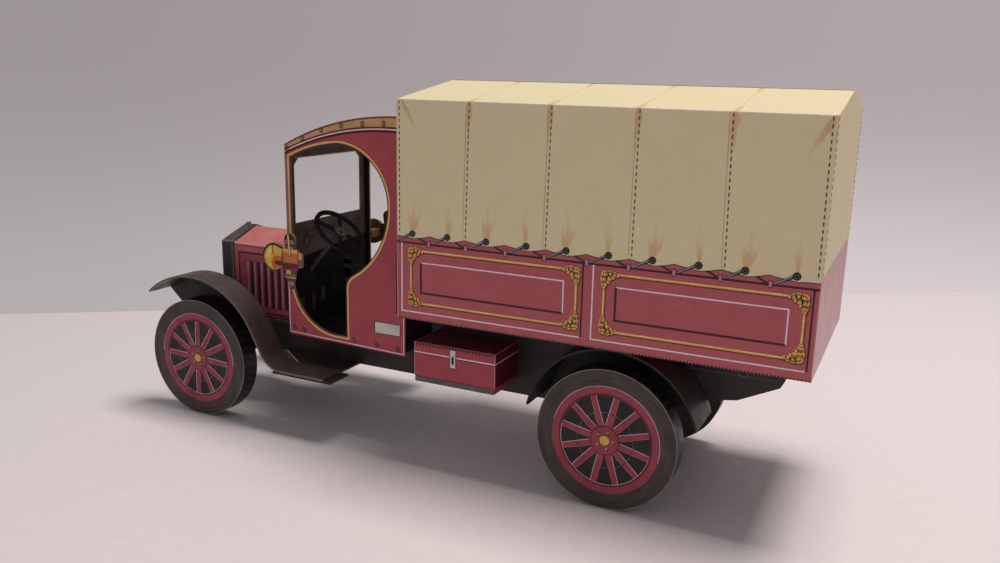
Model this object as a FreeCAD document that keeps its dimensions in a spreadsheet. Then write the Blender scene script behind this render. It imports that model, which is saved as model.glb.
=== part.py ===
"""Printed card model of a canvas covered lorry of about 1915 to 1920, in millimetres.

Frame: +X to the front of the lorry, +Y to its left side, +Z up. The origin lies on the
ground under the centre of the overall box. Every panel is glued card.
"""
import FreeCAD, Part
import math
import os
import Sketcher

doc = FreeCAD.newDocument("card_lorry")

# Driving dimensions. Heights are over the ground, stations run along the lorry.
SIZES = {
    "card": 0.5,
    # Load box and its canvas cover
    "box_length": 110.0,
    "box_width": 62.5,
    "box_bottom": 44.0,
    "hem_height": 68.1,
    "eave_height": 103.6,
    "ridge_height": 108.6,
    # Cab
    "cab_gap": 4.0,
    "cab_length": 42.0,
    "cab_width": 42.2,
    "cab_bottom": 30.0,
    "cab_rear_hang": 1.0,
    "cab_top": 98.4,
    "cab_roof_radius": 85.0,
    "cab_roof_flat": 2.6,
    "screen_sill": 64.3,
    "screen_top": 84.2,
    "screen_width": 34.8,
    "screen_corner": 2.0,
    # Doorway, as distances ahead of the cab's rear wall and heights over the ground
    "door_front": 40.0,
    "door_front_top": 85.0,
    "door_arch": 17.2,
    "door_back": 5.6,
    "door_centre_height": 72.6,
    "door_heel_radius": 24.4,
    "door_heel_height": 51.6,
    "door_step_back": 20.5,
    "door_step_top": 47.6,
    "door_sill": 32.1,
    "door_toe_radius": 16.0,
    # Seat and steering
    "seat_depth": 12.0,
    "seat_height": 43.0,
    "seat_width": 38.0,
    "steer_ahead": 30.5,
    "steer_left": 10.2,
    "steer_height": 61.2,
    "steer_radius": 9.0,
    "steer_rim": 1.3,
    "steer_card": 0.8,
    "steer_spoke": 1.1,
    "steer_hub": 2.0,
    "steer_rake": 48.0,
    "column_radius": 0.8,
    # Side lamps, cut out of card and held off the cab's front posts
    "lamp_offset": 5.6,
    "lamp_card": 0.8,
    "lamp_height": 55.3,
    "lamp_glass_radius": 4.4,
    "lamp_body_length": 5.8,
    "lamp_body_height": 6.1,
    "lamp_arm_height": 2.4,
    "lamp_stem_length": 6.2,
    "lamp_stem_width": 3.8,
    "lamp_cap_rise": 4.8,
    "lamp_cap_width": 4.0,
    "lamp_handle": 1.5,
    # Bonnet and radiator
    "bonnet_length": 30.4,
    "bonnet_width": 22.4,
    "bonnet_shoulder": 54.2,
    "bonnet_ridge": 58.3,
    "radiator_depth": 4.4,
    "radiator_width": 24.2,
    "radiator_rise": 0.5,
    "radiator_rim": 1.6,
    "core_setback": 1.2,
    "filler_radius": 0.8,
    "filler_height": 0.5,
    # Chassis
    "rail_width": 23.0,
    "rail_bottom": 20.3,
    "rail_nose": 9.6,
    "rail_nose_depth": 2.8,
    "rail_nose_rise": 2.8,
    "rail_nose_run": 7.8,
    "rail_tail": 8.0,
    "rail_tail_height": 36.8,
    "rail_tail_corner": 2.1,
    "rail_kick_rear": 19.5,
    "rail_kick_rear_height": 29.6,
    "rail_kick_front": 29.6,
    "rail_kick_front_height": 28.0,
    "rail_kick_end": 42.6,
    "spring_length": 24.0,
    "spring_drop": 16.4,
    "spring_card": 1.2,
    "spring_lap": 4.0,
    "spring_eye": 2.0,
    "spring_seat": 6.0,
    "spring_sag": 1.5,
    "axle_clear": 3.0,
    # Wheels and axles
    "front_axle_ahead": 31.3,
    "rear_overhang": 48.8,
    "wheel_radius": 19.1,
    "wheel_width": 6.0,
    "track_over_faces": 58.2,
    "axle_radius": 1.0,
    "axle_running_gap": 0.08,
    "axle_end_gap": 0.6,
    "hub_tube_radius": 2.6,
    "hub_tube_length": 3.6,
    # Wings, steps and tool boxes
    "wing_card": 0.6,
    "front_wing_radius": 27.3,
    "front_wing_outer": 30.8,
    "front_wing_inner": 21.4,
    "front_wing_tip_angle": 48.5,
    "front_wing_back_angle": 152.0,
    "front_wing_sweep": 8.0,
    "valance_depth": 9.0,
    "valance_glue": 0.05,
    "step_height": 20.9,
    "step_rear": 22.5,
    "step_layer_out": 2.6,
    "step_layer_length": 21.6,
    "step_slant": 13.2,
    "rear_wing_radius": 23.9,
    "rear_wing_outer": 27.0,
    "rear_wing_front_angle": 12.0,
    "rear_wing_back_angle": 165.0,
    "toolbox_gap": 2.7,
    "toolbox_wing_gap": 9.0,
    "toolbox_out": 26.8,
    "toolbox_bottom": 24.6,
    "toolbox_top": 36.3,
    "toolbox_base": 1.7,
    "toolbox_inset": 0.25,
}

sheet = doc.addObject("Spreadsheet::Sheet", "Sizes")
for row, (alias, value) in enumerate(SIZES.items(), start=1):
    sheet.set("A%d" % row, alias)
    sheet.set("B%d" % row, str(value))
    sheet.setAlias("B%d" % row, alias)
doc.recompute()


def size(alias):
    """Read one driving dimension back from the sheet."""
    return float(sheet.get(alias))


# Stations along the lorry that several pieces share
BOX_REAR = -(
    size("box_length") + size("cab_gap") + size("cab_length") + size("front_axle_ahead")
    + size("wheel_radius")
) / 2
BOX_FRONT = BOX_REAR + size("box_length")
CAB_REAR = BOX_FRONT + size("cab_gap")
CAB_FRONT = CAB_REAR + size("cab_length")
BONNET_FRONT = CAB_FRONT + size("bonnet_length")
RADIATOR_FRONT = BONNET_FRONT + size("radiator_depth")
REAR_AXLE = BOX_REAR + size("rear_overhang")
FRONT_AXLE = CAB_FRONT + size("front_axle_ahead")

# The same stations as expressions for bound properties
HALF_LENGTH = (
    "(Sizes.box_length + Sizes.cab_gap + Sizes.cab_length + Sizes.front_axle_ahead"
    " + Sizes.wheel_radius) / 2"
)
X_BOX_REAR = "-" + HALF_LENGTH
X_BOX_FRONT = "(%s + Sizes.box_length)" % X_BOX_REAR
X_CAB_REAR = "(%s + Sizes.cab_gap)" % X_BOX_FRONT
X_CAB_FRONT = "(%s + Sizes.cab_length)" % X_CAB_REAR
X_BONNET_FRONT = "(%s + Sizes.bonnet_length)" % X_CAB_FRONT
X_REAR_AXLE = "(%s + Sizes.rear_overhang)" % X_BOX_REAR
X_FRONT_AXLE = "(%s + Sizes.front_axle_ahead)" % X_CAB_FRONT
X_RADIATOR_FRONT = "(%s + Sizes.radiator_depth)" % X_BONNET_FRONT

PARTS = []


def finished(obj, label):
    """Give an object its label and count it as a piece of the lorry."""
    obj.Label = label
    PARTS.append(obj)
    return obj


def place(obj, x="0", y="0", z="0"):
    """Bind the three coordinates of an object's placement."""
    obj.setExpression("Placement.Base.x", x)
    obj.setExpression("Placement.Base.y", y)
    obj.setExpression("Placement.Base.z", z)
    return obj


def block(name, x, y, z):
    """A box; each of x, y and z is a pair of expressions, low side and size."""
    box = doc.addObject("Part::Box", name)
    box.setExpression("Length", x[1])
    box.setExpression("Width", y[1])
    box.setExpression("Height", z[1])
    return place(box, x[0], y[0], z[0])


def cylinder(name, radius, height, x, y, z, axis):
    """A round rod along a unit axis, from its starting point."""
    rod = doc.addObject("Part::Cylinder", name)
    rod.setExpression("Radius", radius)
    rod.setExpression("Height", height)
    rod.Placement.Rotation = FreeCAD.Rotation(FreeCAD.Vector(0, 0, 1), FreeCAD.Vector(*axis))
    return place(rod, x, y, z)


def cut(name, base, tool):
    """Base with the tool taken away."""
    result = doc.addObject("Part::Cut", name)
    result.Base = base
    result.Tool = tool
    return result


def fuse(name, *shapes):
    """Several glued shapes as one piece."""
    result = doc.addObject("Part::MultiFuse", name)
    result.Shapes = list(shapes)
    result.Refine = True
    return result


def mirror(name, source):
    """The same piece on the other side of the lorry."""
    result = doc.addObject("Part::Mirroring", name)
    result.Source = source
    result.Normal = (0, 1, 0)
    result.Base = (0, 0, 0)
    return result


def origin_plane(body, role):
    """One of a body's own origin planes."""
    return next(f for f in body.Origin.OriginFeatures if f.Role == role)


def sketch_on(body, role, name):
    """A new sketch on a plane through the body's origin."""
    sketch = body.newObject("Sketcher::SketchObject", name)
    sketch.AttachmentSupport = [(origin_plane(body, role), "")]
    sketch.MapMode = "FlatFace"
    return sketch


def draw(sketch, steps):
    """Draw a closed outline: each step is a point, or a pair of a point to pass and a point."""
    def at(point):
        return FreeCAD.Vector(point[0], point[1], 0)

    here = steps[0]
    for step in steps[1:]:
        if isinstance(step[0], tuple):
            sketch.addGeometry(Part.Arc(at(here), at(step[0]), at(step[1])), False)
            here = step[1]
        else:
            sketch.addGeometry(Part.LineSegment(at(here), at(step)), False)
            here = step
    if math.dist(here, steps[0]) > 1e-6:
        sketch.addGeometry(Part.LineSegment(at(here), at(steps[0])), False)


def side_plate(name, outlines, outer, thickness):
    """A flat card parallel to the lorry's side, with holes; its outside face lies at y = outer."""
    body = doc.addObject("PartDesign::Body", name)
    sketch = sketch_on(body, "XZ_Plane", name + "_outline")
    for outline in outlines:
        draw(sketch, outline)
    pad = body.newObject("PartDesign::Pad", name + "_pad")
    pad.Profile = sketch
    pad.setExpression("Length", thickness)
    sketch.setExpression("AttachmentOffset.Base.z", "-(%s)" % outer)
    return body


def cross_sheet(name, outline, half_width):
    """A folded or curved card that runs across the lorry, the same width to both sides."""
    body = doc.addObject("PartDesign::Body", name)
    sketch = sketch_on(body, "XZ_Plane", name + "_outline")
    draw(sketch, outline)
    pad = body.newObject("PartDesign::Pad", name + "_pad")
    pad.Profile = sketch
    pad.Midplane = True
    pad.setExpression("Length", "2 * (%s)" % half_width)
    return body


def lengthwise(name, outlines, start, length):
    """A section across the lorry, drawn over y and z, run forward from a station."""
    body = doc.addObject("PartDesign::Body", name)
    sketch = sketch_on(body, "YZ_Plane", name + "_outline")
    for outline in outlines:
        draw(sketch, outline)
    pad = body.newObject("PartDesign::Pad", name + "_pad")
    pad.Profile = sketch
    pad.setExpression("Length", length)
    sketch.setExpression("AttachmentOffset.Base.z", start)
    return body


def polar(centre, radius, degrees):
    """A point on a circle, in the plane of a sketch."""
    angle = math.radians(degrees)
    return (centre[0] + radius * math.cos(angle), centre[1] + radius * math.sin(angle))


def load_box():
    """Red open tray under the canvas: a floor and four walls up to the hem."""
    outer = block(
        "tray_block",
        (X_BOX_REAR, "Sizes.box_length"),
        ("-Sizes.box_width / 2", "Sizes.box_width"),
        ("Sizes.box_bottom", "Sizes.hem_height - Sizes.box_bottom"),
    )
    inner = block(
        "tray_room",
        (X_BOX_REAR + " + Sizes.card", "Sizes.box_length - 2 * Sizes.card"),
        ("-Sizes.box_width / 2 + Sizes.card", "Sizes.box_width - 2 * Sizes.card"),
        ("Sizes.box_bottom + Sizes.card", "Sizes.hem_height - Sizes.box_bottom"),
    )
    finished(cut("cargo_box_cut", outer, inner), "cargo_box")


def gable(half, foot, shoulder, ridge):
    """A house shaped outline over y and z."""
    return [(-half, foot), (half, foot), (half, shoulder), (0, ridge), (-half, shoulder)]


def canvas_cover():
    """Canvas cover: two sides, a low gabled roof and two ends, open below the hem."""
    half = size("box_width") / 2
    card = size("card")
    slope = math.atan2(size("ridge_height") - size("eave_height"), half)
    drop = card / math.cos(slope)
    inner_shoulder = size("eave_height") - drop + card * math.tan(slope)
    outer = lengthwise(
        "cover_block",
        [gable(half, size("hem_height"), size("eave_height"), size("ridge_height"))],
        X_BOX_REAR,
        "Sizes.box_length",
    )
    room = lengthwise(
        "cover_room",
        [gable(half - card, size("hem_height") - 1, inner_shoulder, size("ridge_height") - drop)],
        X_BOX_REAR + " + Sizes.card",
        "Sizes.box_length - 2 * Sizes.card",
    )
    finished(cut("canvas_cover_cut", outer, room), "canvas_cover")


def roof_arc(inset):
    """Centre and radius of the cab roof's arc, moved in by a distance."""
    centre = (CAB_REAR + size("cab_roof_flat"), size("cab_top") - size("cab_roof_radius"))
    return centre, size("cab_roof_radius") - inset


def roof_height(x, inset=0.0):
    """Height of the cab roof over a station."""
    centre, radius = roof_arc(inset)
    return centre[1] + math.sqrt(radius ** 2 - (x - centre[0]) ** 2)


def doorway():
    """Outline of the open doorway in a cab side, round behind and swept at the toe."""
    front = CAB_REAR + size("door_front")
    back = CAB_REAR + size("door_back")
    arch = size("door_arch")
    middle = size("door_centre_height")
    crown = (back + arch, middle + arch)
    heel_centre = (back + size("door_heel_radius"), middle)
    heel_drop = middle - size("door_heel_height")
    heel_run = math.sqrt(size("door_heel_radius") ** 2 - heel_drop ** 2)
    heel = (heel_centre[0] - heel_run, size("door_heel_height"))
    heel_angle = 180 + math.degrees(math.atan2(heel_drop, heel_run)) / 2
    step_back = CAB_REAR + size("door_step_back")
    step_top = (step_back, size("door_step_top"))
    step_turn = (step_back - 0.9, (heel[1] + step_top[1]) / 2 + 0.3)
    toe = size("door_toe_radius")
    toe_centre = (front - toe, size("door_sill") + toe)
    brow = ((front + crown[0]) / 2, (size("door_front_top") + crown[1]) / 2 + 0.9)
    return [
        (front, toe_centre[1]),
        (front, size("door_front_top")),
        (brow, crown),
        (polar((back + arch, middle), arch, 135), (back, middle)),
        (polar(heel_centre, size("door_heel_radius"), heel_angle), heel),
        (step_turn, step_top),
        (step_back, size("door_sill")),
        (toe_centre[0], size("door_sill")),
        (polar(toe_centre, toe, -45), (front, toe_centre[1])),
    ]


def cab():
    """Cab of six cards: two sides, front and rear wall, curved roof and floor."""
    card = size("card")
    low = size("cab_bottom")
    flat_end = CAB_REAR + size("cab_roof_flat")
    centre, radius = roof_arc(0)
    front_top = roof_height(CAB_FRONT)
    lean = math.degrees(math.atan2(CAB_FRONT - flat_end, front_top - centre[1]))
    side = [
        (CAB_REAR, low - size("cab_rear_hang")),
        (CAB_FRONT, low),
        (CAB_FRONT, front_top),
        (polar(centre, radius, 90 - lean / 2), (flat_end, size("cab_top"))),
        (CAB_REAR, size("cab_top")),
    ]
    opening = doorway()
    left = side_plate("cab_left", [side], "Sizes.cab_width / 2", "Sizes.card")
    left_hole = side_plate("cab_left_doorway", [opening], "Sizes.cab_width / 2 + 1", "Sizes.card + 2")
    left_side = finished(cut("cab_left_cut", left, left_hole), "cab_side_left")
    finished(mirror("cab_right_mirror", left_side), "cab_side_right")

    inner_half = "Sizes.cab_width / 2 - Sizes.card"
    half = size("cab_width") / 2 - card
    wall_top = roof_height(CAB_FRONT, card)
    front = lengthwise(
        "front_wall_card",
        [[(-half, low), (half, low), (half, wall_top), (-half, wall_top)]],
        X_CAB_FRONT + " - Sizes.card",
        "Sizes.card",
    )
    reach = size("screen_width") / 2
    corner = size("screen_corner")
    top = size("screen_top")
    screen = lengthwise(
        "screen_hole",
        [[
            (-reach, size("screen_sill")),
            (reach, size("screen_sill")),
            (reach, top - corner),
            (reach - corner, top),
            (corner - reach, top),
            (-reach, top - corner),
        ]],
        X_CAB_FRONT + " - Sizes.card - 1",
        "Sizes.card + 2",
    )
    finished(cut("cab_front_cut", front, screen), "cab_front_wall")
    rear = block(
        "cab_rear_card",
        (X_CAB_REAR, "Sizes.card"),
        ("-(%s)" % inner_half, "2 * (%s)" % inner_half),
        ("Sizes.cab_bottom", "Sizes.cab_top - Sizes.card - Sizes.cab_bottom"),
    )
    finished(rear, "cab_rear_wall")

    inner_centre, inner_radius = roof_arc(card)
    inner_front = roof_height(CAB_FRONT, card)
    inner_lean = math.degrees(math.atan2(CAB_FRONT - flat_end, inner_front - inner_centre[1]))
    roof = cross_sheet(
        "cab_roof_sheet",
        [
            (CAB_REAR, size("cab_top") - card),
            (flat_end, size("cab_top") - card),
            (polar(inner_centre, inner_radius, 90 - inner_lean / 2), (CAB_FRONT, inner_front)),
            (CAB_FRONT, front_top),
            (polar(centre, radius, 90 - lean / 2), (flat_end, size("cab_top"))),
            (CAB_REAR, size("cab_top")),
        ],
        inner_half,
    )
    finished(roof, "cab_roof")
    floor = block(
        "cab_floor_card",
        (X_CAB_REAR + " + Sizes.card", "Sizes.cab_length - 2 * Sizes.card"),
        ("-(%s)" % inner_half, "2 * (%s)" % inner_half),
        ("Sizes.cab_bottom", "Sizes.card"),
    )
    finished(floor, "cab_floor")


def seat():
    """Bench seat across the cab, a folded box on the floor with a low back."""
    bench = block(
        "seat_base",
        (X_CAB_REAR + " + Sizes.card", "Sizes.seat_depth"),
        ("-Sizes.seat_width / 2", "Sizes.seat_width"),
        ("Sizes.cab_bottom + Sizes.card", "Sizes.seat_height - Sizes.cab_bottom - Sizes.card"),
    )
    back = block(
        "seat_back",
        (X_CAB_REAR + " + Sizes.card", "Sizes.seat_depth / 5"),
        ("-Sizes.seat_width / 2", "Sizes.seat_width"),
        ("Sizes.seat_height", "Sizes.seat_depth"),
    )
    finished(fuse("seat_bench_fuse", bench, back), "seat_bench")


def steering():
    """Steering wheel with four spokes on a raked column that ends on the front wall."""
    rake = math.radians(size("steer_rake"))
    axis = FreeCAD.Vector(-math.cos(rake), 0, math.sin(rake))
    centre = FreeCAD.Vector(
        CAB_REAR + size("steer_ahead"), size("steer_left"), size("steer_height")
    )
    turn = FreeCAD.Rotation(FreeCAD.Vector(0, 0, 1), axis)
    card = size("steer_card")
    inside = size("steer_radius") - size("steer_rim")
    wheel = Part.makeCylinder(size("steer_radius"), card).cut(Part.makeCylinder(inside, card))
    wheel = wheel.fuse(Part.makeCylinder(size("steer_hub"), card))
    for index in range(4):
        spoke = Part.makeBox(
            inside + size("steer_rim") / 2, size("steer_spoke"), card,
            FreeCAD.Vector(0, -size("steer_spoke") / 2, 0),
        )
        spoke.rotate(FreeCAD.Vector(0, 0, 0), FreeCAD.Vector(0, 0, 1), 45 + 90 * index)
        wheel = wheel.fuse(spoke)
    solid = doc.addObject("Part::Feature", "steering_wheel_solid")
    solid.Shape = wheel.removeSplitter()
    solid.Placement = FreeCAD.Placement(centre, turn)
    finished(solid, "steering_wheel")

    run = (CAB_FRONT - size("card") - centre.x) / -axis.x
    rod = Part.makeCylinder(size("column_radius"), run + 3 * size("column_radius"), centre, -axis)
    wall = Part.makeBox(
        size("cab_length"), size("cab_width"), size("cab_top"),
        FreeCAD.Vector(CAB_FRONT - size("card"), -size("cab_width") / 2, 0),
    )
    column = doc.addObject("Part::Feature", "steering_column_solid")
    column.Shape = rod.cut(wall)
    finished(column, "steering_column")


def side_lamps():
    """Oil side lamps: flat cut-outs with a round front, each on an arm from the cab's side."""
    glass = size("lamp_glass_radius")
    body_half = size("lamp_body_height") / 2
    middle = size("lamp_height")
    front = CAB_FRONT + glass
    neck = front - 1.65 * glass
    back = neck - size("lamp_body_length")
    stem = (neck + back) / 2
    foot = middle - body_half - size("lamp_stem_length")
    waist = middle - body_half - size("lamp_stem_length") / 2
    wide = size("lamp_stem_width") / 2
    cap = size("lamp_cap_width") / 2
    crown = middle + body_half + size("lamp_cap_rise")
    eave = crown - size("lamp_cap_width") / 2 - 0.2
    handle = back - size("lamp_handle")
    outline = [
        (neck, middle + body_half),
        ((front - 1.1 * glass, middle + glass), (front - 0.8 * glass, middle + glass)),
        ((front, middle), (front - 0.8 * glass, middle - glass)),
        ((front - 1.2 * glass, middle - glass * 0.9), (neck, middle - body_half)),
        (stem + wide, middle - body_half),
        (stem + 0.7 * wide, waist),
        (stem + 0.25 * wide, foot),
        (stem - 0.25 * wide, foot),
        (stem - 0.7 * wide, waist),
        (stem - wide, middle - body_half),
        (back, middle - 0.8 * body_half),
        (handle, middle - 0.7 * body_half),
        (handle, middle + 0.6 * body_half),
        (back, middle + 0.8 * body_half),
        (back, middle + body_half),
        (stem - 0.8 * cap, middle + body_half),
        (stem - cap, eave),
        ((stem, crown), (stem + cap, eave)),
        (stem + 0.8 * cap, middle + body_half),
    ]
    plane = "Sizes.cab_width / 2 + Sizes.lamp_offset"
    lamp = side_plate("lamp_card", [outline], plane + " + Sizes.lamp_card / 2", "Sizes.lamp_card")
    arm = block(
        "lamp_arm",
        ("%s - Sizes.lamp_arm_height" % X_CAB_FRONT, "Sizes.lamp_arm_height"),
        ("Sizes.cab_width / 2", "Sizes.lamp_offset - Sizes.lamp_card / 2"),
        ("Sizes.lamp_height - Sizes.lamp_arm_height / 2", "Sizes.lamp_arm_height"),
    )
    left = finished(fuse("side_lamp_fuse", lamp, arm), "side_lamp_left")
    finished(mirror("side_lamp_mirror", left), "side_lamp_right")


def folded_gable(name, half, foot, shoulder, ridge, card, start, length):
    """A card folded over a ridge: two sides and two slopes, open below and at both ends."""
    slope = math.atan2(ridge - shoulder, half)
    drop = card / math.cos(slope)
    inner = half - card
    inner_shoulder = shoulder - drop + card * math.tan(slope)
    outline = [
        (-half, foot),
        (-inner, foot),
        (-inner, inner_shoulder),
        (0, ridge - drop),
        (inner, inner_shoulder),
        (inner, foot),
        (half, foot),
        (half, shoulder),
        (0, ridge),
        (-half, shoulder),
    ]
    return lengthwise(name, [outline], start, length)


def bonnet():
    """Folded bonnet, radiator shell with its set back core, and filler cap."""
    finished(
        folded_gable(
            "bonnet_fold", size("bonnet_width") / 2, size("cab_bottom"), size("bonnet_shoulder"),
            size("bonnet_ridge"), size("card"), X_CAB_FRONT, "Sizes.bonnet_length",
        ),
        "bonnet",
    )
    half = size("radiator_width") / 2
    rise = size("radiator_rise")
    rim = size("radiator_rim")
    foot = size("cab_bottom")
    shoulder = size("bonnet_shoulder") + rise
    ridge = size("bonnet_ridge") + rise
    shell = lengthwise(
        "radiator_block", [gable(half, foot, shoulder, ridge)], X_BONNET_FRONT, "Sizes.radiator_depth"
    )
    window = gable(half - rim, foot + rim, shoulder - rim, ridge - 1.1 * rim)
    hole = lengthwise(
        "radiator_hole", [window], X_BONNET_FRONT + " - 1", "Sizes.radiator_depth + 2"
    )
    finished(cut("radiator_shell_cut", shell, hole), "radiator_shell")
    core = lengthwise(
        "radiator_core_card",
        [window],
        X_BONNET_FRONT + " + Sizes.radiator_depth - Sizes.core_setback - Sizes.card",
        "Sizes.card",
    )
    finished(core, "radiator_core")
    cap = cylinder(
        "radiator_cap_rod", "Sizes.filler_radius", "Sizes.filler_height + Sizes.filler_radius",
        X_BONNET_FRONT + " + Sizes.radiator_depth - Sizes.core_setback", "0",
        "Sizes.bonnet_ridge + Sizes.radiator_rise - Sizes.filler_radius", (0, 0, 1),
    )
    finished(cut("radiator_cap_cut", cap, shell), "radiator_cap")


def rail_underside():
    """Lower edge of the frame from its tail to its nose, without the nose's own curve."""
    low = size("rail_bottom")
    corner = size("rail_tail_corner")
    tail = BOX_REAR + size("rail_tail")
    return [
        (tail, size("rail_tail_height")),
        (tail + corner / 2, size("rail_tail_height") - corner),
        (BOX_REAR + size("rail_kick_rear"), size("rail_kick_rear_height")),
        (BOX_REAR + size("rail_kick_front"), size("rail_kick_front_height")),
        (BOX_REAR + size("rail_kick_end"), low),
        (RADIATOR_FRONT + size("rail_nose") - size("rail_nose_run"), low),
    ]


def rail_outline():
    """Side view of the frame: deep under the box, stepped down for the cab, kicked up behind."""
    low = size("rail_bottom")
    nose = RADIATOR_FRONT + size("rail_nose")
    run = size("rail_nose_run")
    rise = low + size("rail_nose_rise")
    tip = rise + size("rail_nose_depth")
    top = size("cab_bottom")
    shelf = BOX_FRONT + size("card")
    return rail_underside() + [
        ((nose - 0.45 * run, low + 0.3 * size("rail_nose_rise")), (nose, rise)),
        (nose, tip),
        ((nose - size("rail_nose") / 2, (tip + top) / 2 + 0.5), (RADIATOR_FRONT, top)),
        (shelf, top),
        (shelf, size("box_bottom")),
        (BOX_REAR + size("rail_tail"), size("box_bottom")),
    ]


def chassis():
    """Frame of two printed sides, bottom cards between them and a cross card at each end."""
    left = side_plate("frame_left_card", [rail_outline()], "Sizes.rail_width / 2", "Sizes.card")
    finished(left, "frame_side_left")
    finished(mirror("frame_right_mirror", left), "frame_side_right")
    inner = "Sizes.rail_width / 2 - Sizes.card"
    across = ("-(%s)" % inner, "2 * (%s)" % inner)
    sheet_z = ("Sizes.rail_bottom", "Sizes.card")

    kick = rail_underside()[1:5]
    end = REAR_AXLE + size("axle_clear")
    lower = kick + [(end, size("rail_bottom"))]
    upper = [(x, z + size("card")) for x, z in lower]
    finished(cross_sheet("frame_rear_sheet", lower + upper[::-1], inner), "frame_bottom_rear")
    middle = block(
        "frame_middle_card",
        (X_REAR_AXLE + " + Sizes.axle_clear",
         "%s - %s - 2 * Sizes.axle_clear" % (X_FRONT_AXLE, X_REAR_AXLE)),
        across, sheet_z,
    )
    finished(middle, "frame_bottom")
    nose = block(
        "frame_nose_card",
        (X_FRONT_AXLE + " - Sizes.axle_clear",
         "%s + Sizes.rail_nose - Sizes.rail_nose_run - %s + Sizes.axle_clear"
         % (X_RADIATOR_FRONT, X_FRONT_AXLE)),
        across, sheet_z,
    )
    finished(nose, "frame_bottom_front")
    front = block(
        "frame_front_card",
        (X_RADIATOR_FRONT + " - Sizes.card", "Sizes.card"),
        across,
        ("Sizes.rail_bottom + Sizes.card", "Sizes.cab_bottom - Sizes.rail_bottom - Sizes.card"),
    )
    finished(front, "frame_front_cross")
    rear = block(
        "frame_rear_card",
        (X_BOX_REAR + " + Sizes.rail_tail", "Sizes.card"),
        across,
        ("Sizes.rail_tail_height", "Sizes.box_bottom - Sizes.rail_tail_height"),
    )
    finished(rear, "frame_rear_cross")


def axle_set(prefix, station, axle_x):
    """One axle rod under the frame and the two leaf springs that hold it."""
    half = size("spring_length") / 2
    top = size("rail_bottom") + size("spring_lap")
    eye = top - size("spring_eye")
    low = size("spring_drop")
    seat = size("spring_seat") / 2
    bend = low + size("spring_sag")
    outline = [
        (axle_x - half, top),
        (axle_x - half, eye),
        ((axle_x - (half + seat) / 2, bend), (axle_x - seat, low)),
        (axle_x + seat, low),
        ((axle_x + (half + seat) / 2, bend), (axle_x + half, eye)),
        (axle_x + half, top),
    ]
    card = side_plate(
        prefix + "_spring_card", [outline], "Sizes.rail_width / 2 + Sizes.spring_card", "Sizes.spring_card"
    )
    reach = "(Sizes.track_over_faces / 2 - Sizes.card - Sizes.axle_end_gap)"
    bore = cylinder(
        prefix + "_spring_bore", "Sizes.axle_radius", "2 * " + reach,
        station, "-" + reach, "Sizes.wheel_radius", (0, 1, 0),
    )
    left = finished(cut(prefix + "_spring_cut", card, bore), prefix + "_spring_left")
    finished(mirror(prefix + "_spring_mirror", left), prefix + "_spring_right")
    rod = cylinder(
        prefix + "_axle_rod", "Sizes.axle_radius", "2 * " + reach,
        station, "-" + reach, "Sizes.wheel_radius", (0, 1, 0),
    )
    finished(rod, prefix + "_axle")


def wheel(label, station, side):
    """Hollow card drum: printed face, tread band, back disc and a paper tube for the axle."""
    card = size("card")
    radius = size("wheel_radius")
    face = size("track_over_faces") / 2
    back = face - size("wheel_width")
    bore = size("axle_radius") + size("axle_running_gap")
    tube = size("hub_tube_radius")
    tube_end = back + size("hub_tube_length")
    body = doc.addObject("PartDesign::Body", label + "_body")
    sketch = sketch_on(body, "YZ_Plane", label + "_section")
    points = [
        (back, bore),
        (back, radius),
        (face, radius),
        (face, 0),
        (face - card, 0),
        (face - card, radius - card),
        (back + card, radius - card),
        (back + card, tube),
        (tube_end, tube),
        (tube_end, bore),
    ]
    draw(sketch, [(side * y, z) for y, z in points])
    turn = body.newObject("PartDesign::Revolution", label + "_revolve")
    turn.Profile = sketch
    turn.ReferenceAxis = (sketch, ["H_Axis"])
    turn.Angle = 360
    body.setExpression("Placement.Base.x", station)
    body.setExpression("Placement.Base.z", "Sizes.wheel_radius")
    finished(body, label)


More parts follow.
